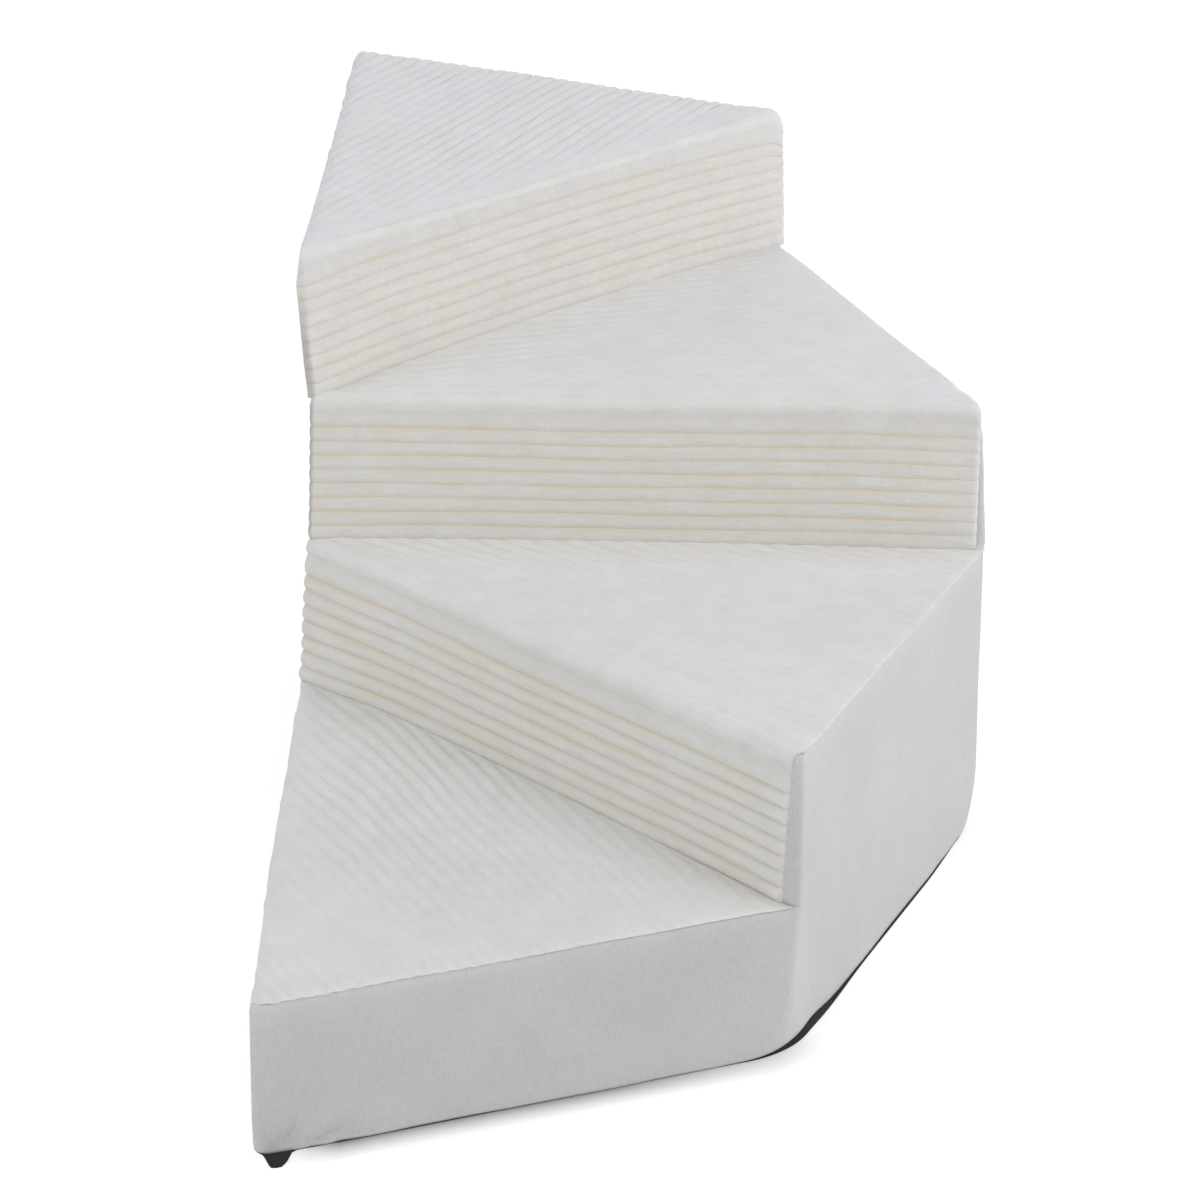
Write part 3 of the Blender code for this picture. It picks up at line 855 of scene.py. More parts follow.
# Painted shade on the rolled end at the hub, on each riser.
EDGE_SHADE = {2: 0.35, 3: 0.70, 4: 0.55}
# Along each riser from the hub: the topmost groove, below the step's height.
TOP_GROOVE = {
    2: [-0.0125, -0.0150, -0.0180, -0.0172, -0.0175],
    3: [-0.0085, -0.0095, -0.0122, -0.0105, -0.0140],
    4: [-0.0160, -0.0100, -0.0080, -0.0092, -0.0125],
}


def riser_ends(step, high_share, form, over, nose):
    """Where each row of a riser starts and ends, along it from the hub."""
    (start_low, start_high), (end_low, end_high) = RISER_START[step], RISER_END[step]
    start = start_low + (start_high - start_low) * high_share + 0.003 * over
    finish = end_low + (end_high - end_low) * high_share + 0.0004 * (form - 0.5)
    finish[-len(nose) :] -= (1 - np.sqrt(1 - nose**2)) * RISER_TOP_ROUND[step]
    if step == 2:
        finish[-len(nose) :] += np.interp(nose, *NOSE_OUT)
    else:
        rounded_by = NOSE_LOW + (NOSE_ARC + NOSE_FLAT - NOSE_LOW) * nose
        behind = NOSE * (1 - np.cos(np.clip(rounded_by / NOSE, 0, math.pi / 2)))
        finish[-len(nose) :] -= FACET_SLOPE * (behind + np.maximum(rounded_by - NOSE_ARC, 0))
    return start - 0.0008 * (form - 0.5), finish


def plush_riser(step):
    along, out = ray(step_angle(step)), facing(step_angle(step))
    wales = WALES[step]
    wale = (np.arange(wales)[:, None] + WALE_CUTS).ravel()
    foot = np.linspace(1, 0, FOOT_CUTS + 1)[:-1]
    nose = np.linspace(0, 1, NOSE_CUTS)

    def by_row(*values):
        """One value a row: for the tucked foot, the wales and the nose."""
        parts = zip(values, (foot, wale, nose))
        return np.concatenate([np.broadcast_to(value, part.shape) for value, part in parts])

    level = by_row(0.0, wale, float(wales))
    form = by_row(0.0, rib_form(np.mod(wale, 1.0) ** 0.94, 2.3, 0.85), 1.0)
    over = by_row(0.0, 0.0, smooth(0.0, 0.75, nose))
    start, finish = riser_ends(step, level / wales, form, over, nose)
    s = spaced(start, finish, (RISER_REACH, RISER_REACH), RISER_CUTS).T
    from_low, from_high = s - start[:, None], finish[:, None] - s
    level, form, over = level[:, None], form[:, None], over[:, None]
    tuck, seam = by_row(foot, 0.0, 0.0)[:, None], by_row(False, False, True)[:, None]

    top = eased(s, RISER_ALONG, TOP_GROOVE[step])
    pitch = (RISE + top - eased(s, RISER_ALONG, CLIMB[step])) / wales
    a = top - (wales - level) * pitch + NOSE
    a += TOP_RAISE[step] * smooth(wales - 1, wales, level)
    wander = WANDER * fbm(s / 0.16, 0.5, 110 + step)
    wander += WALE_WANDER * noise(s / 0.05, np.round(level) * 2.3 + 0.1, 120 + step)
    a += wander * smooth(*WANDER_SPAN, from_high)
    a_low = a[-len(nose)].copy()
    a[-len(nose) :] = a_low + (NOSE_ARC + NOSE_FLAT - a_low) * nose[:, None]
    above = a - a_low

    turn = np.clip(a / NOSE, 0, math.pi / 2)
    flat = np.maximum(a - NOSE_ARC, 0)
    n_way, z_way = np.cos(turn), np.sin(turn)
    n = NOSE * (n_way - 1) - flat
    lifted = PUFF[step] * smooth(NOSE_LOW, NOSE_ARC, a)
    z = step * RISE - NOSE + np.minimum(a, 0) + NOSE * z_way - NOSE_SLOPE * flat + lifted

    relief = RISER_RIB[step] * (1 + 0.14 * fbm(s / 0.05, level * 0.9, 130 + step)) * (1 - form)
    if step == 2:
        relief = relief * (1 + 0.35 * fade(0.0, 0.12, from_high))
    relief = np.where(seam, TOP_RELIEF[step] * fade(*TOP_SPAN, above), relief)
    last_wale = (level >= wales - LAST_WALE) & ~seam
    easing = smooth(wales - LAST_WALE, wales, level)
    relief = np.where(last_wale, relief * (1 - easing) + TOP_RELIEF[step] * easing, relief)
    bow = eased(s, RISER_ALONG, RISER_BOW[step]) * (1 - 0.5 * smooth(-0.02, NOSE_ARC, a))
    lift = bow + ripples(s, z, RISER_WAVES, step) - relief
    rolled = smooth(*NOSE_ROLL_IN, above) * fade(*NOSE_ROLL_OUT, above)
    lift += np.where(seam, NOSE_ROLL[step] * rolled, 0)
    lift += relief * 0.6 * fade(0.0, 0.006, from_high) * (1 - over)
    ended = roll(from_low, RISER_REACH, START_ROLL) * (1 - START_EASE[step] * over)
    ended += roll(from_high, RISER_REACH, END_ROLL) * (1 - END_EASE[step] * over)
    n += lift * n_way - ended * np.maximum(n_way, 0.35)
    z += (lift - 0.4 * ended) * z_way
    n -= FOOT_IN * tuck
    z -= FOOT_DOWN * tuck

    if step == STEPS:
        behind = np.maximum(-n - 0.002, 0)
        s = s + behind * fade(0, 0.06, from_low) * smooth(-0.020, 0.004, a)
    plan = laid(s, along, n, out)
    plan[..., 1] = np.minimum(plan[..., 1], 0.0040)
    under_plan = laid(s, along, np.minimum(n - 0.0004, -0.0066), out)
    under_plan[..., 1] = np.minimum(under_plan[..., 1], 0.0)
    under = world(under_plan, np.minimum(z, step * RISE - 0.0045))
    # Painted shade in the grooves between the wales and under the nose, weaker towards the outer
    # end.
    groove = np.where(seam, TOP_SHADE[step] * fade(*TOP_SHADE_SPAN, above), (1 - form) ** 0.4)
    groove = np.where(last_wale, groove * (1 - (1 - TOP_SHADE[step]) * easing), groove)
    patchy = 0.45 * fbm(s / 0.035, np.round(level) * 1.7 + 0.3, 150 + step, 2)
    groove = groove * (0.85 + patchy)
    groove = groove * (0.6 + 0.4 * smooth(0.0, 0.05, from_high)) * GROOVE_SHADE[step]
    # Painted shade: grey on the rolled end at the hub, where the fabric turns away from the light.
    edge_shade = EDGE_SHADE[step] * fade(0.0006, 0.0040, from_low) * (1 - over)
    edge_shade *= fade(-0.070, -0.010, a) if step == STEPS else 1.0
    points, faces = closed_sheet(world(plan, z), under, UNDER_STRIDE, UNDER_STRIDE)
    marks = {"groove": groove, "edge_shade": edge_shade, "across": a + 10 + step, "along": s}
    name, node = f"plush_riser_{step}", f"riser_panel_{step}"
    made = piece(name, points, faces, PLUSH, [node], marks)


# The outer wall

WALL_BOTTOM = 0.0012
VELVET_THICK = 0.0019
FLAP = {2: 0.026, 3: 0.010, 4: 0.010}
FLAP_CUTS = 4
FLAP_DEPTH = {2: 0.0032, 3: 0.0034, 4: 0.0060}
WRAP_RADIUS = 0.0055
WRAP_OUT = {2: 0.0, 3: 0.0045, 4: 0.0}
WRAP_FADE = 0.13
FOOT_CORNER = 0.009
SIDE_CORNER = 0.012
LOW_RADIUS = {2: 0.074, 3: 0.078, 4: 0.060}
LOW_REACH = {2: 0.050, 3: 0.052, 4: 0.060}
CORNER_CUTS = 16
STRAIGHT_CUTS = 96
CORNER_BLOCK = CORNER_CUTS + STRAIGHT_CUTS
# Levels at the foot, then below and above each step's top edge.
FOOT_LEVELS = [0.0, 0.0015, 0.004, 0.008, 0.013, 0.019, 0.026, 0.034]
LEVEL_GAP, LEVEL_CLEAR, LEVEL_KEEP = 0.0042, 0.0075, 0.0050
BELOW_TOP = (0.0045, 0.002, 0.0008, 0.0)
ABOVE_TOP = (0.002, 0.004, 0.006, 0.008, 0.011, 0.015)
# How the lower edge is drawn up: corner, height, width and shift in columns.
CORNER_LIFTS = (
    (1, 0.0010, 4.5, 3.0),
    (2, 0.0062, 7.0, 10.0),
    (3, 0.0030, 9.0, -3.0),
    (4, 0.0050, 10.0, 0.0),
    (5, 0.0050, 8.0, 0.0),
)
# Puckers by the lowest corner, from one place to another round the wall, and up it.
PUCKERS = (
    ((0.018, 0.008), (0.034, 0.024), 0.0026, 0.0028),
    ((0.040, 0.004), (0.080, 0.019), 0.0034, 0.0030),
    ((0.058, 0.003), (0.100, 0.008), 0.0014, 0.0035),
)
WALL_WAVES = ((0.0008, (0.14, 0.12), 210, 3), (0.0003, 0.03, 220, 2))
WRAP_START, WRAP_FULL, WRAP_TOP = 0.0005, 0.0035, 0.020
TINY = 1e-6


def wall_levels():
    """Heights of the wall's rows, with every step's top edge among them."""
    levels = list(FOOT_LEVELS)
    for step in range(1, STEPS + 1):
        top = top_of(step) - EDGE_DROP
        while levels[-1] < top - LEVEL_CLEAR:
            levels.append(levels[-1] + LEVEL_GAP)
        levels = [z for z in levels if z < top - LEVEL_KEEP]
        levels += [top - gap for gap in BELOW_TOP]
        if step < STEPS:
            levels += [top + gap for gap in ABOVE_TOP]
    return np.array(levels)


def arc_points(centre, radius, from_way, to_way, cuts):
    """Points and outward ways along an arc between two outward directions in plan."""
    crossed = from_way[0] * to_way[1] - from_way[1] * to_way[0]
    turn = math.atan2(crossed, from_way @ to_way)
    angles = math.atan2(from_way[1], from_way[0]) + turn * np.linspace(0, 1, cuts)
    ways = np.stack([np.cos(angles), np.sin(angles)], -1)
    return centre + radius * ways, ways


def end_radius(z):
    """Corner radius at the two ends of the flat back."""
    return CORNER + (FOOT_CORNER - CORNER) * float(fade(0, 0.03, z))


def wrap(number, z):
    """How far a corner is wrapped round its riser's end, from 0 to 1, and how far out."""
    if number not in WRAP_OUT:
        return 0.0, 0.0
    top = top_of(number - 1) - EDGE_DROP
    share = float(smooth(top - WRAP_START, top + WRAP_FULL, z))
    return share, WRAP_OUT[number] * float(fade(number * RISE - WRAP_TOP, number * RISE, z))


def wall_corner(number, z):
    """One row of a wall corner. Corner 1 is at the low end of the back, 5 at the high end."""
    if number in (1, STEPS + 1):
        edge = facet_edge(min(number, STEPS), z)
        turn = (BACK_OUT, -edge[0]) if number == 1 else (-edge[0], BACK_OUT)
        radius = end_radius(z)
        return arc_points(meet(BACK, edge, radius), radius, *turn, CORNER_CUTS)
    before, after = facet_edge(number - 1, z), facet_edge(number, z)
    low_share = max(0.0, 1 - z / LOW_REACH[number]) ** 2
    radius = SIDE_CORNER + (LOW_RADIUS[number] - SIDE_CORNER) * low_share
    centre = meet(before, after, radius)
    points, ways = arc_points(centre, radius, -before[0], -after[0], CORNER_CUTS)
    share, wider = wrap(number, z)
    if share > 0:
        face = (-facing(step_angle(number)), FLAP_DEPTH[number])
        centre = meet(face, (after[0], after[1] - wider), WRAP_RADIUS)
        bend = (-face[0], -after[0], CORNER_CUTS - FLAP_CUTS)
        bent, bent_ways = arc_points(centre, WRAP_RADIUS, *bend)
        reach = FLAP[number] * np.linspace(1, 0.25, FLAP_CUTS)
        flap = bent[0] - ray(step_angle(number)) * reach[:, None]
        bent = np.concatenate([flap, bent])
        bent_ways = np.concatenate([np.repeat(bent_ways[:1], FLAP_CUTS, 0), bent_ways])
        points = points * (1 - share) + bent * share
        ways = ways * (1 - share) + bent_ways * share
        ways /= np.linalg.norm(ways, axis=-1, keepdims=True)
    return points, ways


def wall_row(z):
    """Plan points and outward ways round the wall at one level."""
    t = np.linspace(0, 1, STRAIGHT_CUTS + 2)[1:-1, None]
    corners = [wall_corner(number, z) for number in range(1, STEPS + 2)]
    points, ways = [], []
    for number in range(1, STEPS + 1):
        here, after = corners[number - 1], corners[number]
        out = -facet_edge(number, z)[0]
        share, wider = wrap(number, z)
        proud = share * wider * (fade(0.0, WRAP_FADE, t) - (1 - t)) * out
        points += [here[0], here[0][-1] * (1 - t) + after[0][0] * t + proud]
        ways += [here[1], np.repeat(out[None], STRAIGHT_CUTS, 0)]
    return np.concatenate(points + [corners[-1][0]]), np.concatenate(ways + [corners[-1][1]])


def corner_lift(count):
    """How far the wall's lower edge is drawn up at each corner, along its columns."""
    lift = np.zeros(count)
    for number, height, width, shift in CORNER_LIFTS:
        centre = (number - 1) * CORNER_BLOCK + (CORNER_CUTS - 1) / 2 + shift
        lift += height * bell(np.arange(count), centre, width + CORNER_CUTS / 2 - 4)
    return lift


def velvet_side():
    levels = wall_levels()
    plan, ways = (np.array(rows) for rows in zip(*[wall_row(z) for z in levels]))
    columns = plan.shape[1]
    level = levels[:, None]
    step_length = np.linalg.norm(np.diff(plan[len(levels) // 8], axis=0), axis=-1)
    around = np.concatenate([[0], np.cumsum(step_length)])
    blend = smooth(0.0, 0.05, level)
    z = (level + WALL_BOTTOM) * (1 - blend) + level * blend
    z = z + corner_lift(columns) * fade(0, 0.045, level)
    a = np.broadcast_to(around, z.shape)
    proud = ripples(a, z, WALL_WAVES)
    proud -= 0.0005 * fade(0, 0.005, level) ** 2
    for (a0, z0), (a1, z1), depth, width in PUCKERS:
        run = np.array([a1 - a0, z1 - z0])
        size = np.linalg.norm(run)
        t = ((a - a0) * run[0] + (z - z0) * run[1]) / size**2
        off = ((a - a0) * -run[1] + (z - z0) * run[0]) / size
        strength = depth * smooth(-0.15, 0.1, t) * fade(0.35, 1.1, t)
        proud = proud - strength * bell(off, 0.0, width)
        proud = proud + 0.6 * strength * bell(off, 1.9 * width, width)
    owner = np.minimum(np.arange(columns - 1) // CORNER_BLOCK + 1, STEPS)
    tops = np.array([top_of(step) - EDGE_DROP for step in range(1, STEPS + 1)])
    below = tops[np.append(owner, STEPS) - 1] - level
    proud -= 0.0010 * fade(0, 0.006, below) * (below > -TINY)
    outer = world(plan + proud[..., None] * ways, z)
    inner = world(plan + (proud - VELVET_THICK)[..., None] * ways, z)
    shown = level[1:] <= tops[owner - 1] + TINY
    points, faces, used = masked_sheet(outer, inner, shown)
    # Painted highlight: the velvet is lighter in a band just under each step's top edge.
    marks = {"light": np.tile(decay(below, 0.011)[used], 2)}
    made = piece("velvet_side", points, faces, VELVET, ["side_panel"], marks)


# The flat back

BACK_FOOT = 0.0023
BACK_THICK = 0.0016
ZIP_HALF = 0.4174
ZIP_TOP = 0.0318
HUB_EDGE = {1: 0.0, 2: 0.0045, 3: 0.0069, 4: 0.0105}
HUB_EDGE_EASE = 7
HUB_EDGE_FADE = 0.06
# The back and an end facet meet at an angle. A corner's round takes up its radius over this.
END_TAN = math.tan(math.radians((90 - WEDGE / 2) / 2))


def back_end(step, z):
    """How much further the back reaches at a height than at its foot, at one end."""
    reach = abs(meet(facet_edge(step, z), BACK)[0]) - FAN_RADIUS
    return (FOOT_CORNER - end_radius(z)) / END_TAN + reach


def velvet_back():
    high = FAN_RADIUS - FOOT_CORNER / END_TAN - 0.0003
    xs = joined(
        np.linspace(-high, -ZIP_HALF, 9),
        np.linspace(-ZIP_HALF, 0.0, 110),
        np.linspace(0.0, ZIP_HALF, 112),
        np.linspace(ZIP_HALF, high, 9),
    )
    first_top, top = top_of(1) - BACK_DROP, top_of(STEPS) - BACK_DROP
    zs = joined(
        np.linspace(BACK_FOOT, ZIP_TOP, 9),
        np.linspace(ZIP_TOP, first_top, 20),
        np.linspace(first_top, top, 86),
    )
    hub = int(np.argmin(np.abs(xs)))
    x, z = np.meshgrid(xs, zs)
    edge = [HUB_EDGE[int(np.clip(math.ceil(v / RISE - TINY), 1, STEPS))] for v in zs]
    edge = np.pad(edge, HUB_EDGE_EASE // 2, mode="edge")
    edge = np.convolve(edge, np.ones(HUB_EDGE_EASE) / HUB_EDGE_EASE, "valid")
    upper = zs > first_top + TINY
    past_hub = np.arange(len(xs)) >= hub
    shift = (edge * upper)[:, None] * np.clip(1 - (xs - xs[hub]) / HUB_EDGE_FADE, 0, 1)
    x += np.where(past_hub, shift, 0)
    outward = np.clip((np.abs(xs) - ZIP_HALF) / (high - ZIP_HALF), 0, 1)
    wider, narrow = (np.array([[back_end(step, v)] for v in zs]) for step in (STEPS, 1))
    x += np.where(xs > 0, wider * outward, -narrow * outward)
    mid_x, mid_z = (xs[1:] + xs[:-1]) / 2, (zs[1:, None] + zs[:-1, None]) / 2
    shown = past_hub[:-1] | ~upper[1:, None]
    shown = shown & ~((np.abs(mid_x) < ZIP_HALF) & (mid_z < ZIP_TOP))
    to_zip = np.maximum(z - ZIP_TOP, np.abs(x) - ZIP_HALF)
    near = np.min(
        [
            np.minimum(x - x[:, :1], x[:, -1:] - x),
            np.where(x >= -TINY, top - z, first_top - z),
            np.where(upper[:, None], x - edge[:, None], 1.0),
            np.where(to_zip >= -TINY, to_zip, 1.0),
        ],
        axis=0,
    )
    y = -0.0008 * fade(0, 0.006, near) - 0.0003
    y = y + ripple(x, z, 0.0003, 0.1, 310) * smooth(0, 0.02, near)
    outer = world(np.stack([x, y], -1), z)
    inner = outer - np.array([0.0, BACK_THICK, 0.0])
    points, faces, _ = masked_sheet(outer, inner, shown)
    made = piece("velvet_back", points, faces, VELVET, ["back_panel"])


# The base

DOT_PITCH = 0.013
DOT_SIDES = 8
DOT_RADIUS = 0.0026
# Each ring of a raised dot: radius and height.
DOT_RINGS = ((DOT_RADIUS, 0.0011), (DOT_RADIUS * 0.86, 0.0003), (DOT_RADIUS * 0.5, 0.0))
DOT_INSET, DOT_FIRST = 0.016, 0.012
BASE_ROUND = 0.09
BASE_LOW_BACK = 0.0021
# Rings of the turned-up rim: offset from the wall, share of its lift, and height. The
# under side closes on ring 3 and the upper side on ring 4. Rings 1 and 2 show.
BASE_RINGS = (
    (-0.0014, 1.0, WALL_BOTTOM - 0.0002),
    (-0.0006, 0.45, 0.0009),
    (-0.0010, 0.0, 0.0004),
    (-0.0120, 0.0, 0.0004),
    (-0.0120, 0.0, 0.0016),
    (-0.0034, 0.3, 0.0018),
    (-0.0026, 1.0, WALL_BOTTOM - 0.0002),
)
SHOWN_RINGS, UNDER_RING, UPPER_RING = (1, 2), 3, 4
# A tab of the black base pushed out on the floor at the low corner: partly the real base, partly a
# dark sheet standing in for shadow.
SHADOW_TAB_WAY, SHADOW_TAB_CENTRE, SHADOW_TAB_HALF = np.array([-0.018, -0.002]), 0.0042, 0.0082


def base_rim():
    """Plan points, outward ways, lift and backward shift round the base."""
    plan, ways = wall_row(0.0)
    count = len(plan)
    lift = corner_lift(count)
    corner = np.mod(np.arange(count), CORNER_BLOCK) < CORNER_CUTS
    keep = [np.arange(50), picks(count, 3), np.flatnonzero(corner)]
    keep = np.unique(np.concatenate(keep))
    plan, ways, lift = plan[keep], ways[keep], lift[keep]
    back_x = np.linspace(plan[-1, 0], plan[0, 0], 60)[1:-1]
    none = np.zeros(len(back_x))
    plan = np.concatenate([plan, np.stack([back_x, none], -1)])
    ways = np.concatenate([ways, np.repeat([BACK_OUT], len(back_x), 0)])
    backward = np.concatenate([np.zeros(len(keep)), none + 0.0016])
    return plan, ways, np.concatenate([lift, none]), backward


def base_dots(first):
    """Points and faces of the raised dots. Their points follow the first few."""
    edges = [facet_edge(k, 0.0) for k in range(1, STEPS + 1)] + [BACK]
    rounds = [(i, i + 1, BASE_ROUND) for i in range(STEPS - 1)]
    turn = np.arange(DOT_SIDES) * 2 * math.pi / DOT_SIDES
    ring_ways = np.stack([np.cos(turn), np.sin(turn)], -1)
    grid_x = np.arange(-38, 39) * DOT_PITCH
    grid_y = -np.arange(0, 45) * DOT_PITCH * math.sqrt(3) / 2 - DOT_FIRST
    dots, faces = [], []
    for row, cy in enumerate(grid_y):
        for cx in grid_x + (row % 2) * DOT_PITCH / 2:
            centre = np.array([cx, cy])
            if inside(centre, edges, rounds) < DOT_INSET:
                continue
            dots += [world(centre + radius * ring_ways, height) for radius, height in DOT_RINGS]
            index = first + np.arange(len(DOT_RINGS) * DOT_SIDES).reshape(-1, DOT_SIDES)
            faces += ring_faces(index)
            faces += [index[-1].tolist(), index[0][::-1].tolist()]
            first += index.size
    return np.concatenate(dots), faces


def base_cloth():
    plan, ways, lift, backward = base_rim()
    count = len(plan)
    past = np.linalg.norm(plan - plan[CORNER_CUTS - 1], axis=-1)
    past[:CORNER_CUTS] *= -1
    # Partly real base and partly painted shadow: the black cloth pushed out under the low corner.
    shadow_tab = bell(past, SHADOW_TAB_CENTRE, SHADOW_TAB_HALF, 4)
    # Partly real base and partly painted shade: the black cloth pushed out past the wall at the
    # second corner and along the facet after it stands in for the shade under the lifted wall.
    rim = 0.0034 * bell(past, 0.405, 0.045) + 0.0016 * smooth(0.36, 0.42, past)
    rim *= fade(0.60, 0.67, past) * (backward == 0)
    rings = []
    for row, (offset, share, height) in enumerate(BASE_RINGS):
        outset = offset - backward - 0.35 * lift * (1 - share)
        edge = plan + outset[:, None] * ways
        if row in SHOWN_RINGS:
            edge = edge + shadow_tab[:, None] * SHADOW_TAB_WAY + rim[:, None] * ways
        limit = np.where(backward > 0, BASE_LOW_BACK, 1.0)
        rings.append(world(edge, np.minimum(height + share * lift, limit)))
    index = np.arange(len(rings) * count).reshape(-1, count)
    faces = []
    for ring in range(len(rings)):
        if ring == UNDER_RING:
            faces += [index[UNDER_RING].tolist(), index[UPPER_RING][::-1].tolist()]
            continue
        faces += ring_faces(index[[ring, (ring + 1) % len(rings)]])
    points = np.concatenate(rings)
    dots, dot_faces = base_dots(len(points))
    marks = {"dots": np.append(np.zeros(len(points)), np.ones(len(dots)))}
    points, faces = np.concatenate([points, dots]), faces + dot_faces
    made = piece("base_cloth", points, faces, BASE, ["base_panel"], marks)


# Foam

FOAM_INSET = 0.0030
FOAM_RISER_INSET = 0.0125
FOAM_UNDER_INSET = 0.0085
FOAM_CORNER = 0.010
FOAM_SPAN = 0.02
FOAM_FOOT = 0.0026
FOAM_LEVELS = [0.006, 0.012, 0.02, 0.03, 0.045, 0.065, 0.09]
FOAM_EASE = 0.003


def clipped(edges):
    """Corner points of a convex plan outline."""
    points = [np.array(p) for p in ((-1.0, -1.0), (1.0, -1.0), (1.0, 1.0), (-1.0, 1.0))]
    for normal, offset in edges:
        kept = []
        for i, p in enumerate(points):
            q = points[(i + 1) % len(points)]
            dp, dq = p @ normal - offset, q @ normal - offset
            if dp >= 0:
                kept.append(p)
            if (dp >= 0) != (dq >= 0):
                kept.append(p + (q - p) * dp / (dp - dq))
        points = kept
    return np.array(points)


def rounded(points, radius, cuts=7):
    """An outline with its corners rounded."""
    made = []
    for i, p in enumerate(points):
        before, after = points[i - 1] - p, points[(i + 1) % len(points)] - p
        before, after = before / np.linalg.norm(before), after / np.linalg.norm(after)
        half = math.acos(np.clip(before @ after, -1, 1)) / 2
        reach = radius / math.tan(half)
        t = np.linspace(0, 1, cuts)[:, None]
        a, b = p + before * reach, p + after * reach
        made.append(a * (1 - t) ** 2 + 2 * p * t * (1 - t) + b * t**2)
    return np.concatenate(made)


def filled(ring, parts):
    """A closed ring with each side cut into its number of parts."""
    sides = zip(ring, np.roll(ring, -1, axis=0), parts)
    return np.concatenate([p + (q - p) * np.arange(cut)[:, None] / cut for p, q, cut in sides])


def lowest_rings(high):
    """Rings of the lowest layer, which fills the wall's rounded foot."""
    levels = [FOAM_FOOT] + FOAM_LEVELS + [high - FOAM_EASE, high]
    rings = []
    for i, z in enumerate(levels):
        plan, ways = wall_row(max(z - 0.003, 0.0))
        keep = picks(len(plan), 4)
        inset = FOAM_INSET + {0: 0.006, len(levels) - 1: 0.002}.get(i, 0.0)
        rings.append(world(plan[keep] - inset * ways[keep], z))
    return rings


def upper_rings(step, high):
    """Rings of a layer of wedges."""
    low = top_of(step - 1) - TREAD_DROP - 0.0002
    rings = []
    for z, inset in ((low, 0.002), (low + 0.002, 0.0), (high - FOAM_EASE, 0.0), (high, 0.0025)):
        edges = [facet_edge(k, z) for k in range(step, STEPS + 1)] + [BACK]
        edges = [(normal, offset + FOAM_INSET) for normal, offset in edges]
        for k in range(2, step + 1):
            riser_inset = FOAM_RISER_INSET if k == step else FOAM_UNDER_INSET
            edges.append((-facing(step_angle(k)), riser_inset))
        outline = clipped([(normal, offset + inset) for normal, offset in edges])
        rings.append(world(rounded(outline, FOAM_CORNER), z))
    return rings


def foam_block(step):
    high = top_of(step) - TREAD_DROP - 0.0006
    rings = lowest_rings(high) if step == 1 else upper_rings(step, high)
    gaps = np.linalg.norm(np.roll(rings[1], -1, axis=0) - rings[1], axis=1)
    parts = np.maximum(1, (gaps / FOAM_SPAN).astype(int))
    points = np.array([filled(ring, parts) for ring in rings])
    index = np.arange(points.shape[0] * points.shape[1]).reshape(points.shape[:2])
    faces = [index[0][::-1].tolist(), index[-1].tolist()]
    faces += ring_faces(index)
    node = f"foam_layer_{step}"
    made = piece(f"foam_{step}", points, faces, FOAM, [node], flat=(0, 1))


# The zip

TAPE_CUTS = np.array([0, 0.02, 0.06, 0.15, 0.28, 0.4, 0.52, 0.64, 0.76, 0.86, 0.94, 0.98, 1.0])
TAPE_LENGTH_CUTS = 300
COIL_PITCH = 0.0016
COIL_WIRE = 0.00036
COIL_CUTS, COIL_SIDES = 12, 5
SHARP_EDGE = math.radians(35)


def zip_tape(half):
    node = f"zip_tape_{half}"
    lo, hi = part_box(node)
    length, width = hi.x - lo.x, hi.z - lo.z
    xs = np.linspace(lo.x + 0.0003, hi.x - 0.0003, TAPE_LENGTH_CUTS)
    x, t = np.meshgrid(xs, TAPE_CUTS)
    z = lo.z + 0.0002 + (width - 0.0004) * t
    ridge = 0.00010 * np.sin(t * math.pi * 10) + 0.00006 * noise(x / 0.004, t * 6, 410)
    edge = np.minimum(t, 1 - t) * width
    y = hi.y - 0.00025 + ridge - 0.0002 * fade(0, 0.0006, edge)
    under = np.stack([x, np.full(x.shape, lo.y + 0.0001), z], -1)
    points, faces = closed_sheet(np.stack([x, y, z], -1), under, 4, 10)
    made = piece(f"tape_{half}", points, faces, TAPE, [node])


def tube(path, radius, sides):
    """Points and faces of a closed tube along a path."""
    ahead = np.gradient(path, axis=0)
    ahead /= np.linalg.norm(ahead, axis=1, keepdims=True)
    side = np.cross(ahead, np.array([0.0, 1.0, 0.0]))
    side /= np.linalg.norm(side, axis=1, keepdims=True)
    up = np.cross(side, ahead)
    angles = (np.arange(sides) * 2 * math.pi / sides)[None, :, None]
    around = radius * np.cos(angles) * side[:, None] + radius * np.sin(angles) * up[:, None]
    index = np.arange(len(path) * sides).reshape(-1, sides)
    faces = ring_faces(index)
    faces += [index[0].tolist(), index[-1][::-1].tolist()]
    return path[:, None] + around, faces


def zip_coil(half):
    node = f"zip_coil_{half}"
    lo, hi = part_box(node)
    turns = int((hi.x - lo.x - 2 * COIL_WIRE) / COIL_PITCH)
    angle = np.arange(turns * COIL_CUTS + 1) * 2 * math.pi / COIL_CUTS
    x = lo.x + COIL_WIRE + angle / (2 * math.pi) * COIL_PITCH
    y = (lo.y + hi.y) / 2 + np.cos(angle) * ((hi.y - lo.y) / 2 - COIL_WIRE)
    z = (lo.z + hi.z) / 2 + np.sin(angle) * ((hi.z - lo.z) / 2 - COIL_WIRE)
    points, faces = tube(np.stack([x, y, z], -1), COIL_WIRE, COIL_SIDES)
    piece(f"coil_{half}", points, faces, NYLON, [node])


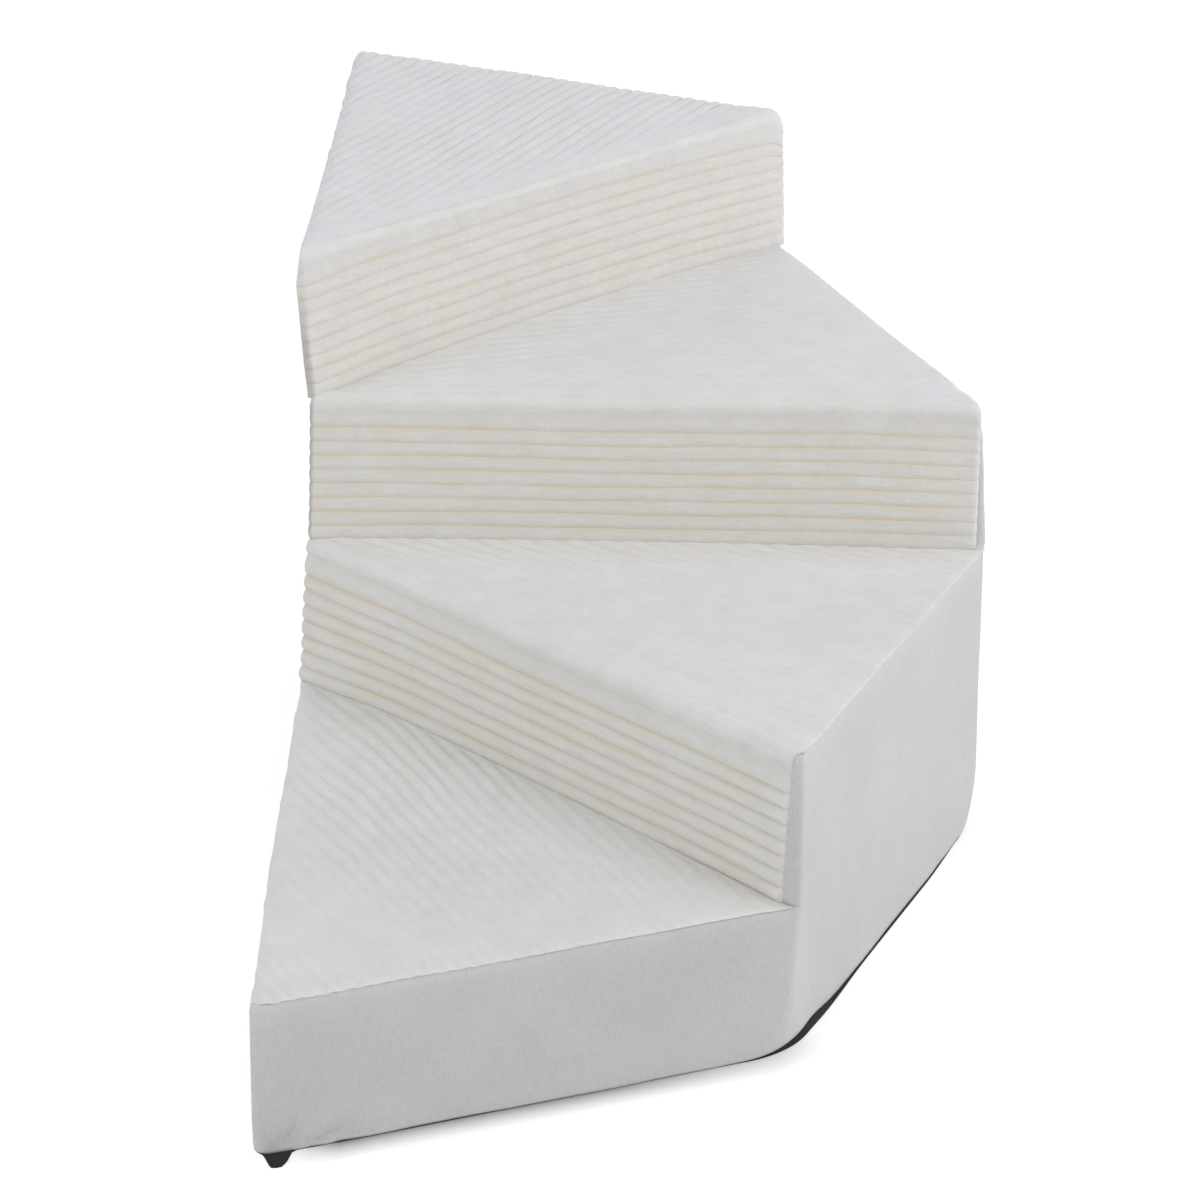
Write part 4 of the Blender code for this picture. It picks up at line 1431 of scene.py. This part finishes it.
def metal(node, body, bevel):
    """A zip fitting: the CAD form with its edges eased."""
    mesh = frame["nodes"][node].data.copy()
    mesh.name = node + "_eased"
    work = bmesh.new()
    work.from_mesh(mesh)
    bmesh.ops.remove_doubles(work, verts=work.verts, dist=TINY)
    bmesh.ops.dissolve_limit(
        work, angle_limit=math.radians(1), verts=work.verts, edges=work.edges
    )
    sharp = [
        e for e in work.edges if len(e.link_faces) == 2 and e.calc_face_angle(0) > SHARP_EDGE
    ]
    bmesh.ops.bevel(
        work, geom=sharp, offset=bevel, segments=2, affect="EDGES", profile=0.5, clamp_overlap=True
    )
    work.to_mesh(mesh)
    work.free()
    mesh.materials.clear()
    mesh.materials.append(NICKEL)
    mesh.polygons.foreach_set("use_smooth", np.ones(len(mesh.polygons), bool))
    placed(node.replace("zip_", "metal_"), mesh, body, [node])


for k in range(1, STEPS + 1):
    foam_block(k)
    plush_tread(k)
for k in range(2, STEPS + 1):
    plush_riser(k)
velvet_side()
velvet_back()
base_cloth()
for make in (zip_tape, zip_coil):
    make("upper")
    make("lower")
for fitting, rides_on, eased_by in (
    ("zip_top_stop_upper", "stairs", 0.0002),
    ("zip_top_stop_lower", "stairs", 0.0002),
    ("zip_end_stop", "stairs", 0.0002),
    ("zip_slider", "slider", 0.00018),
    ("zip_pull", "pull", 0.00022),
):
    metal(fitting, rides_on, eased_by)

# Studio

FLOOR_HALF = 9.0
FLOOR_GLOW = 0.84
CONTACT_REACH = 0.026
WORLD_LIGHT = 0.35
# Each lamp: name, place, aim, size, power and colour.
LAMPS = (
    ("key", (-2.1, -2.4, 2.6), (0, 0, 0.2), (3.0, 3.0), 53.8, (1.0, 0.97, 0.933)),
    ("front", (-3.2, -0.6, 1.6), (0, 0, 0.2), (2.4, 1.8), 3.8, (1.0, 0.83, 0.53)),
    ("right", (0.4, -3.4, 1.0), (0, 0, 0.2), (2.4, 1.8), 39.1, (0.983, 0.977, 1.0)),
    ("rear", (3.0, 0.3, 1.5), (0, 0, 0.3), (2.4, 1.8), 29.1, (0.779, 0.806, 1.0)),
    ("over", (0.0, 0.0, 3.2), (0, 0, 0.2), (2.4, 2.4), 20.7, (0.82, 0.864, 1.0)),
    ("left", (-1.8, 2.8, 1.5), (0, 0, 0.2), (2.4, 1.8), 40.3, (0.972, 1.0, 0.987)),
)
CAMERA_PLACE = (-2.898, HUB_Y - 0.294, 1.4845)
CAMERA_YAW = math.radians(1.54)
CAMERA_DIP = math.radians(24.12)


def looking(way):
    """The turn that points a lamp or a camera along a way."""
    return Vector(way).to_track_quat("-Z", "Y").to_euler()


def floor():
    """A white floor that keeps a soft shadow, with a painted contact shadow deepest in front and
    none near the back.
    """
    mesh = bpy.data.meshes.new("floor")
    corners = [(x * FLOOR_HALF, y * FLOOR_HALF, 0) for x, y in ((-1, -1), (1, -1), (1, 1), (-1, 1))]
    mesh.from_pydata(corners, [], [(0, 1, 2, 3)])
    look = material("floor_look")
    contact = look.node("AmbientOcclusion", {"Distance": CONTACT_REACH}, samples=16).outputs["AO"]
    where = look.node("TexCoord").outputs["Object"]
    front = (*ray(facet_angle(1) - 15), 0.0)
    ahead = look.node("VectorMath", {0: where, 1: front}, operation="DOT_PRODUCT").outputs["Value"]
    inward = look.node("SeparateXYZ", {"Vector": where}).outputs["Y"]
    depth = look.span(ahead, 0.335, 0.40, 0.95, 0.12)
    depth = look.math("MAXIMUM", depth, look.span(inward, HUB_Y - 0.06, HUB_Y - 0.015, 0.0, 1.0))
    shade = look.span(contact, 0.48, 0.985, depth, 1.0)
    diffuse = look.node("BsdfDiffuse", {"Color": rgb(0.25, 0.25, 0.25)})
    strength = look.math("MULTIPLY", shade, FLOOR_GLOW)
    glow = look.node("Emission", {"Color": WHITE, "Strength": strength})
    both = look.node("AddShader", {0: diffuse.outputs[0], 1: glow.outputs[0]})
    plain = look.node("BsdfDiffuse", {"Color": rgb(0.80, 0.80, 0.80)})
    parts = {0: look.seen(), 1: plain.outputs[0], 2: both.outputs[0]}
    mesh.materials.append(look.show(look.node("MixShader", parts)))
    made = linked("floor", mesh)


def surroundings():
    """Soft light all round, which is white where it is seen."""
    look = Look(bpy.data.worlds.new("studio"), "OutputWorld")
    soft = look.node("Background", {"Color": WHITE, "Strength": WORLD_LIGHT})
    white = look.node("Background", {"Color": WHITE, "Strength": 1.0})
    parts = {0: look.seen(), 1: soft.outputs[0], 2: white.outputs[0]}
    bpy.context.scene.world = look.show(look.node("MixShader", parts))


def lamp(name, place, aim, size, power, colour):
    data = bpy.data.lights.new(name, "AREA")
    data.shape = "RECTANGLE"
    data.size, data.size_y = size
    data.energy = power
    data.color = colour
    made = linked(name, data)
    made.location = place
    made.rotation_euler = looking(Vector(aim) - Vector(place))


floor()
surroundings()
for values in LAMPS:
    lamp(*values)

camera = linked("camera", bpy.data.cameras.new("camera"))
camera.data.sensor_width = 36.0
camera.data.lens = 126.06
camera.data.clip_end = 50.0
camera.location = CAMERA_PLACE
level_way = (math.cos(CAMERA_YAW), math.sin(CAMERA_YAW))
camera.rotation_euler = looking(
    [math.cos(CAMERA_DIP) * part for part in level_way] + [-math.sin(CAMERA_DIP)]
)
bpy.context.scene.camera = camera
bpy.context.scene.view_settings.view_transform = "Standard"
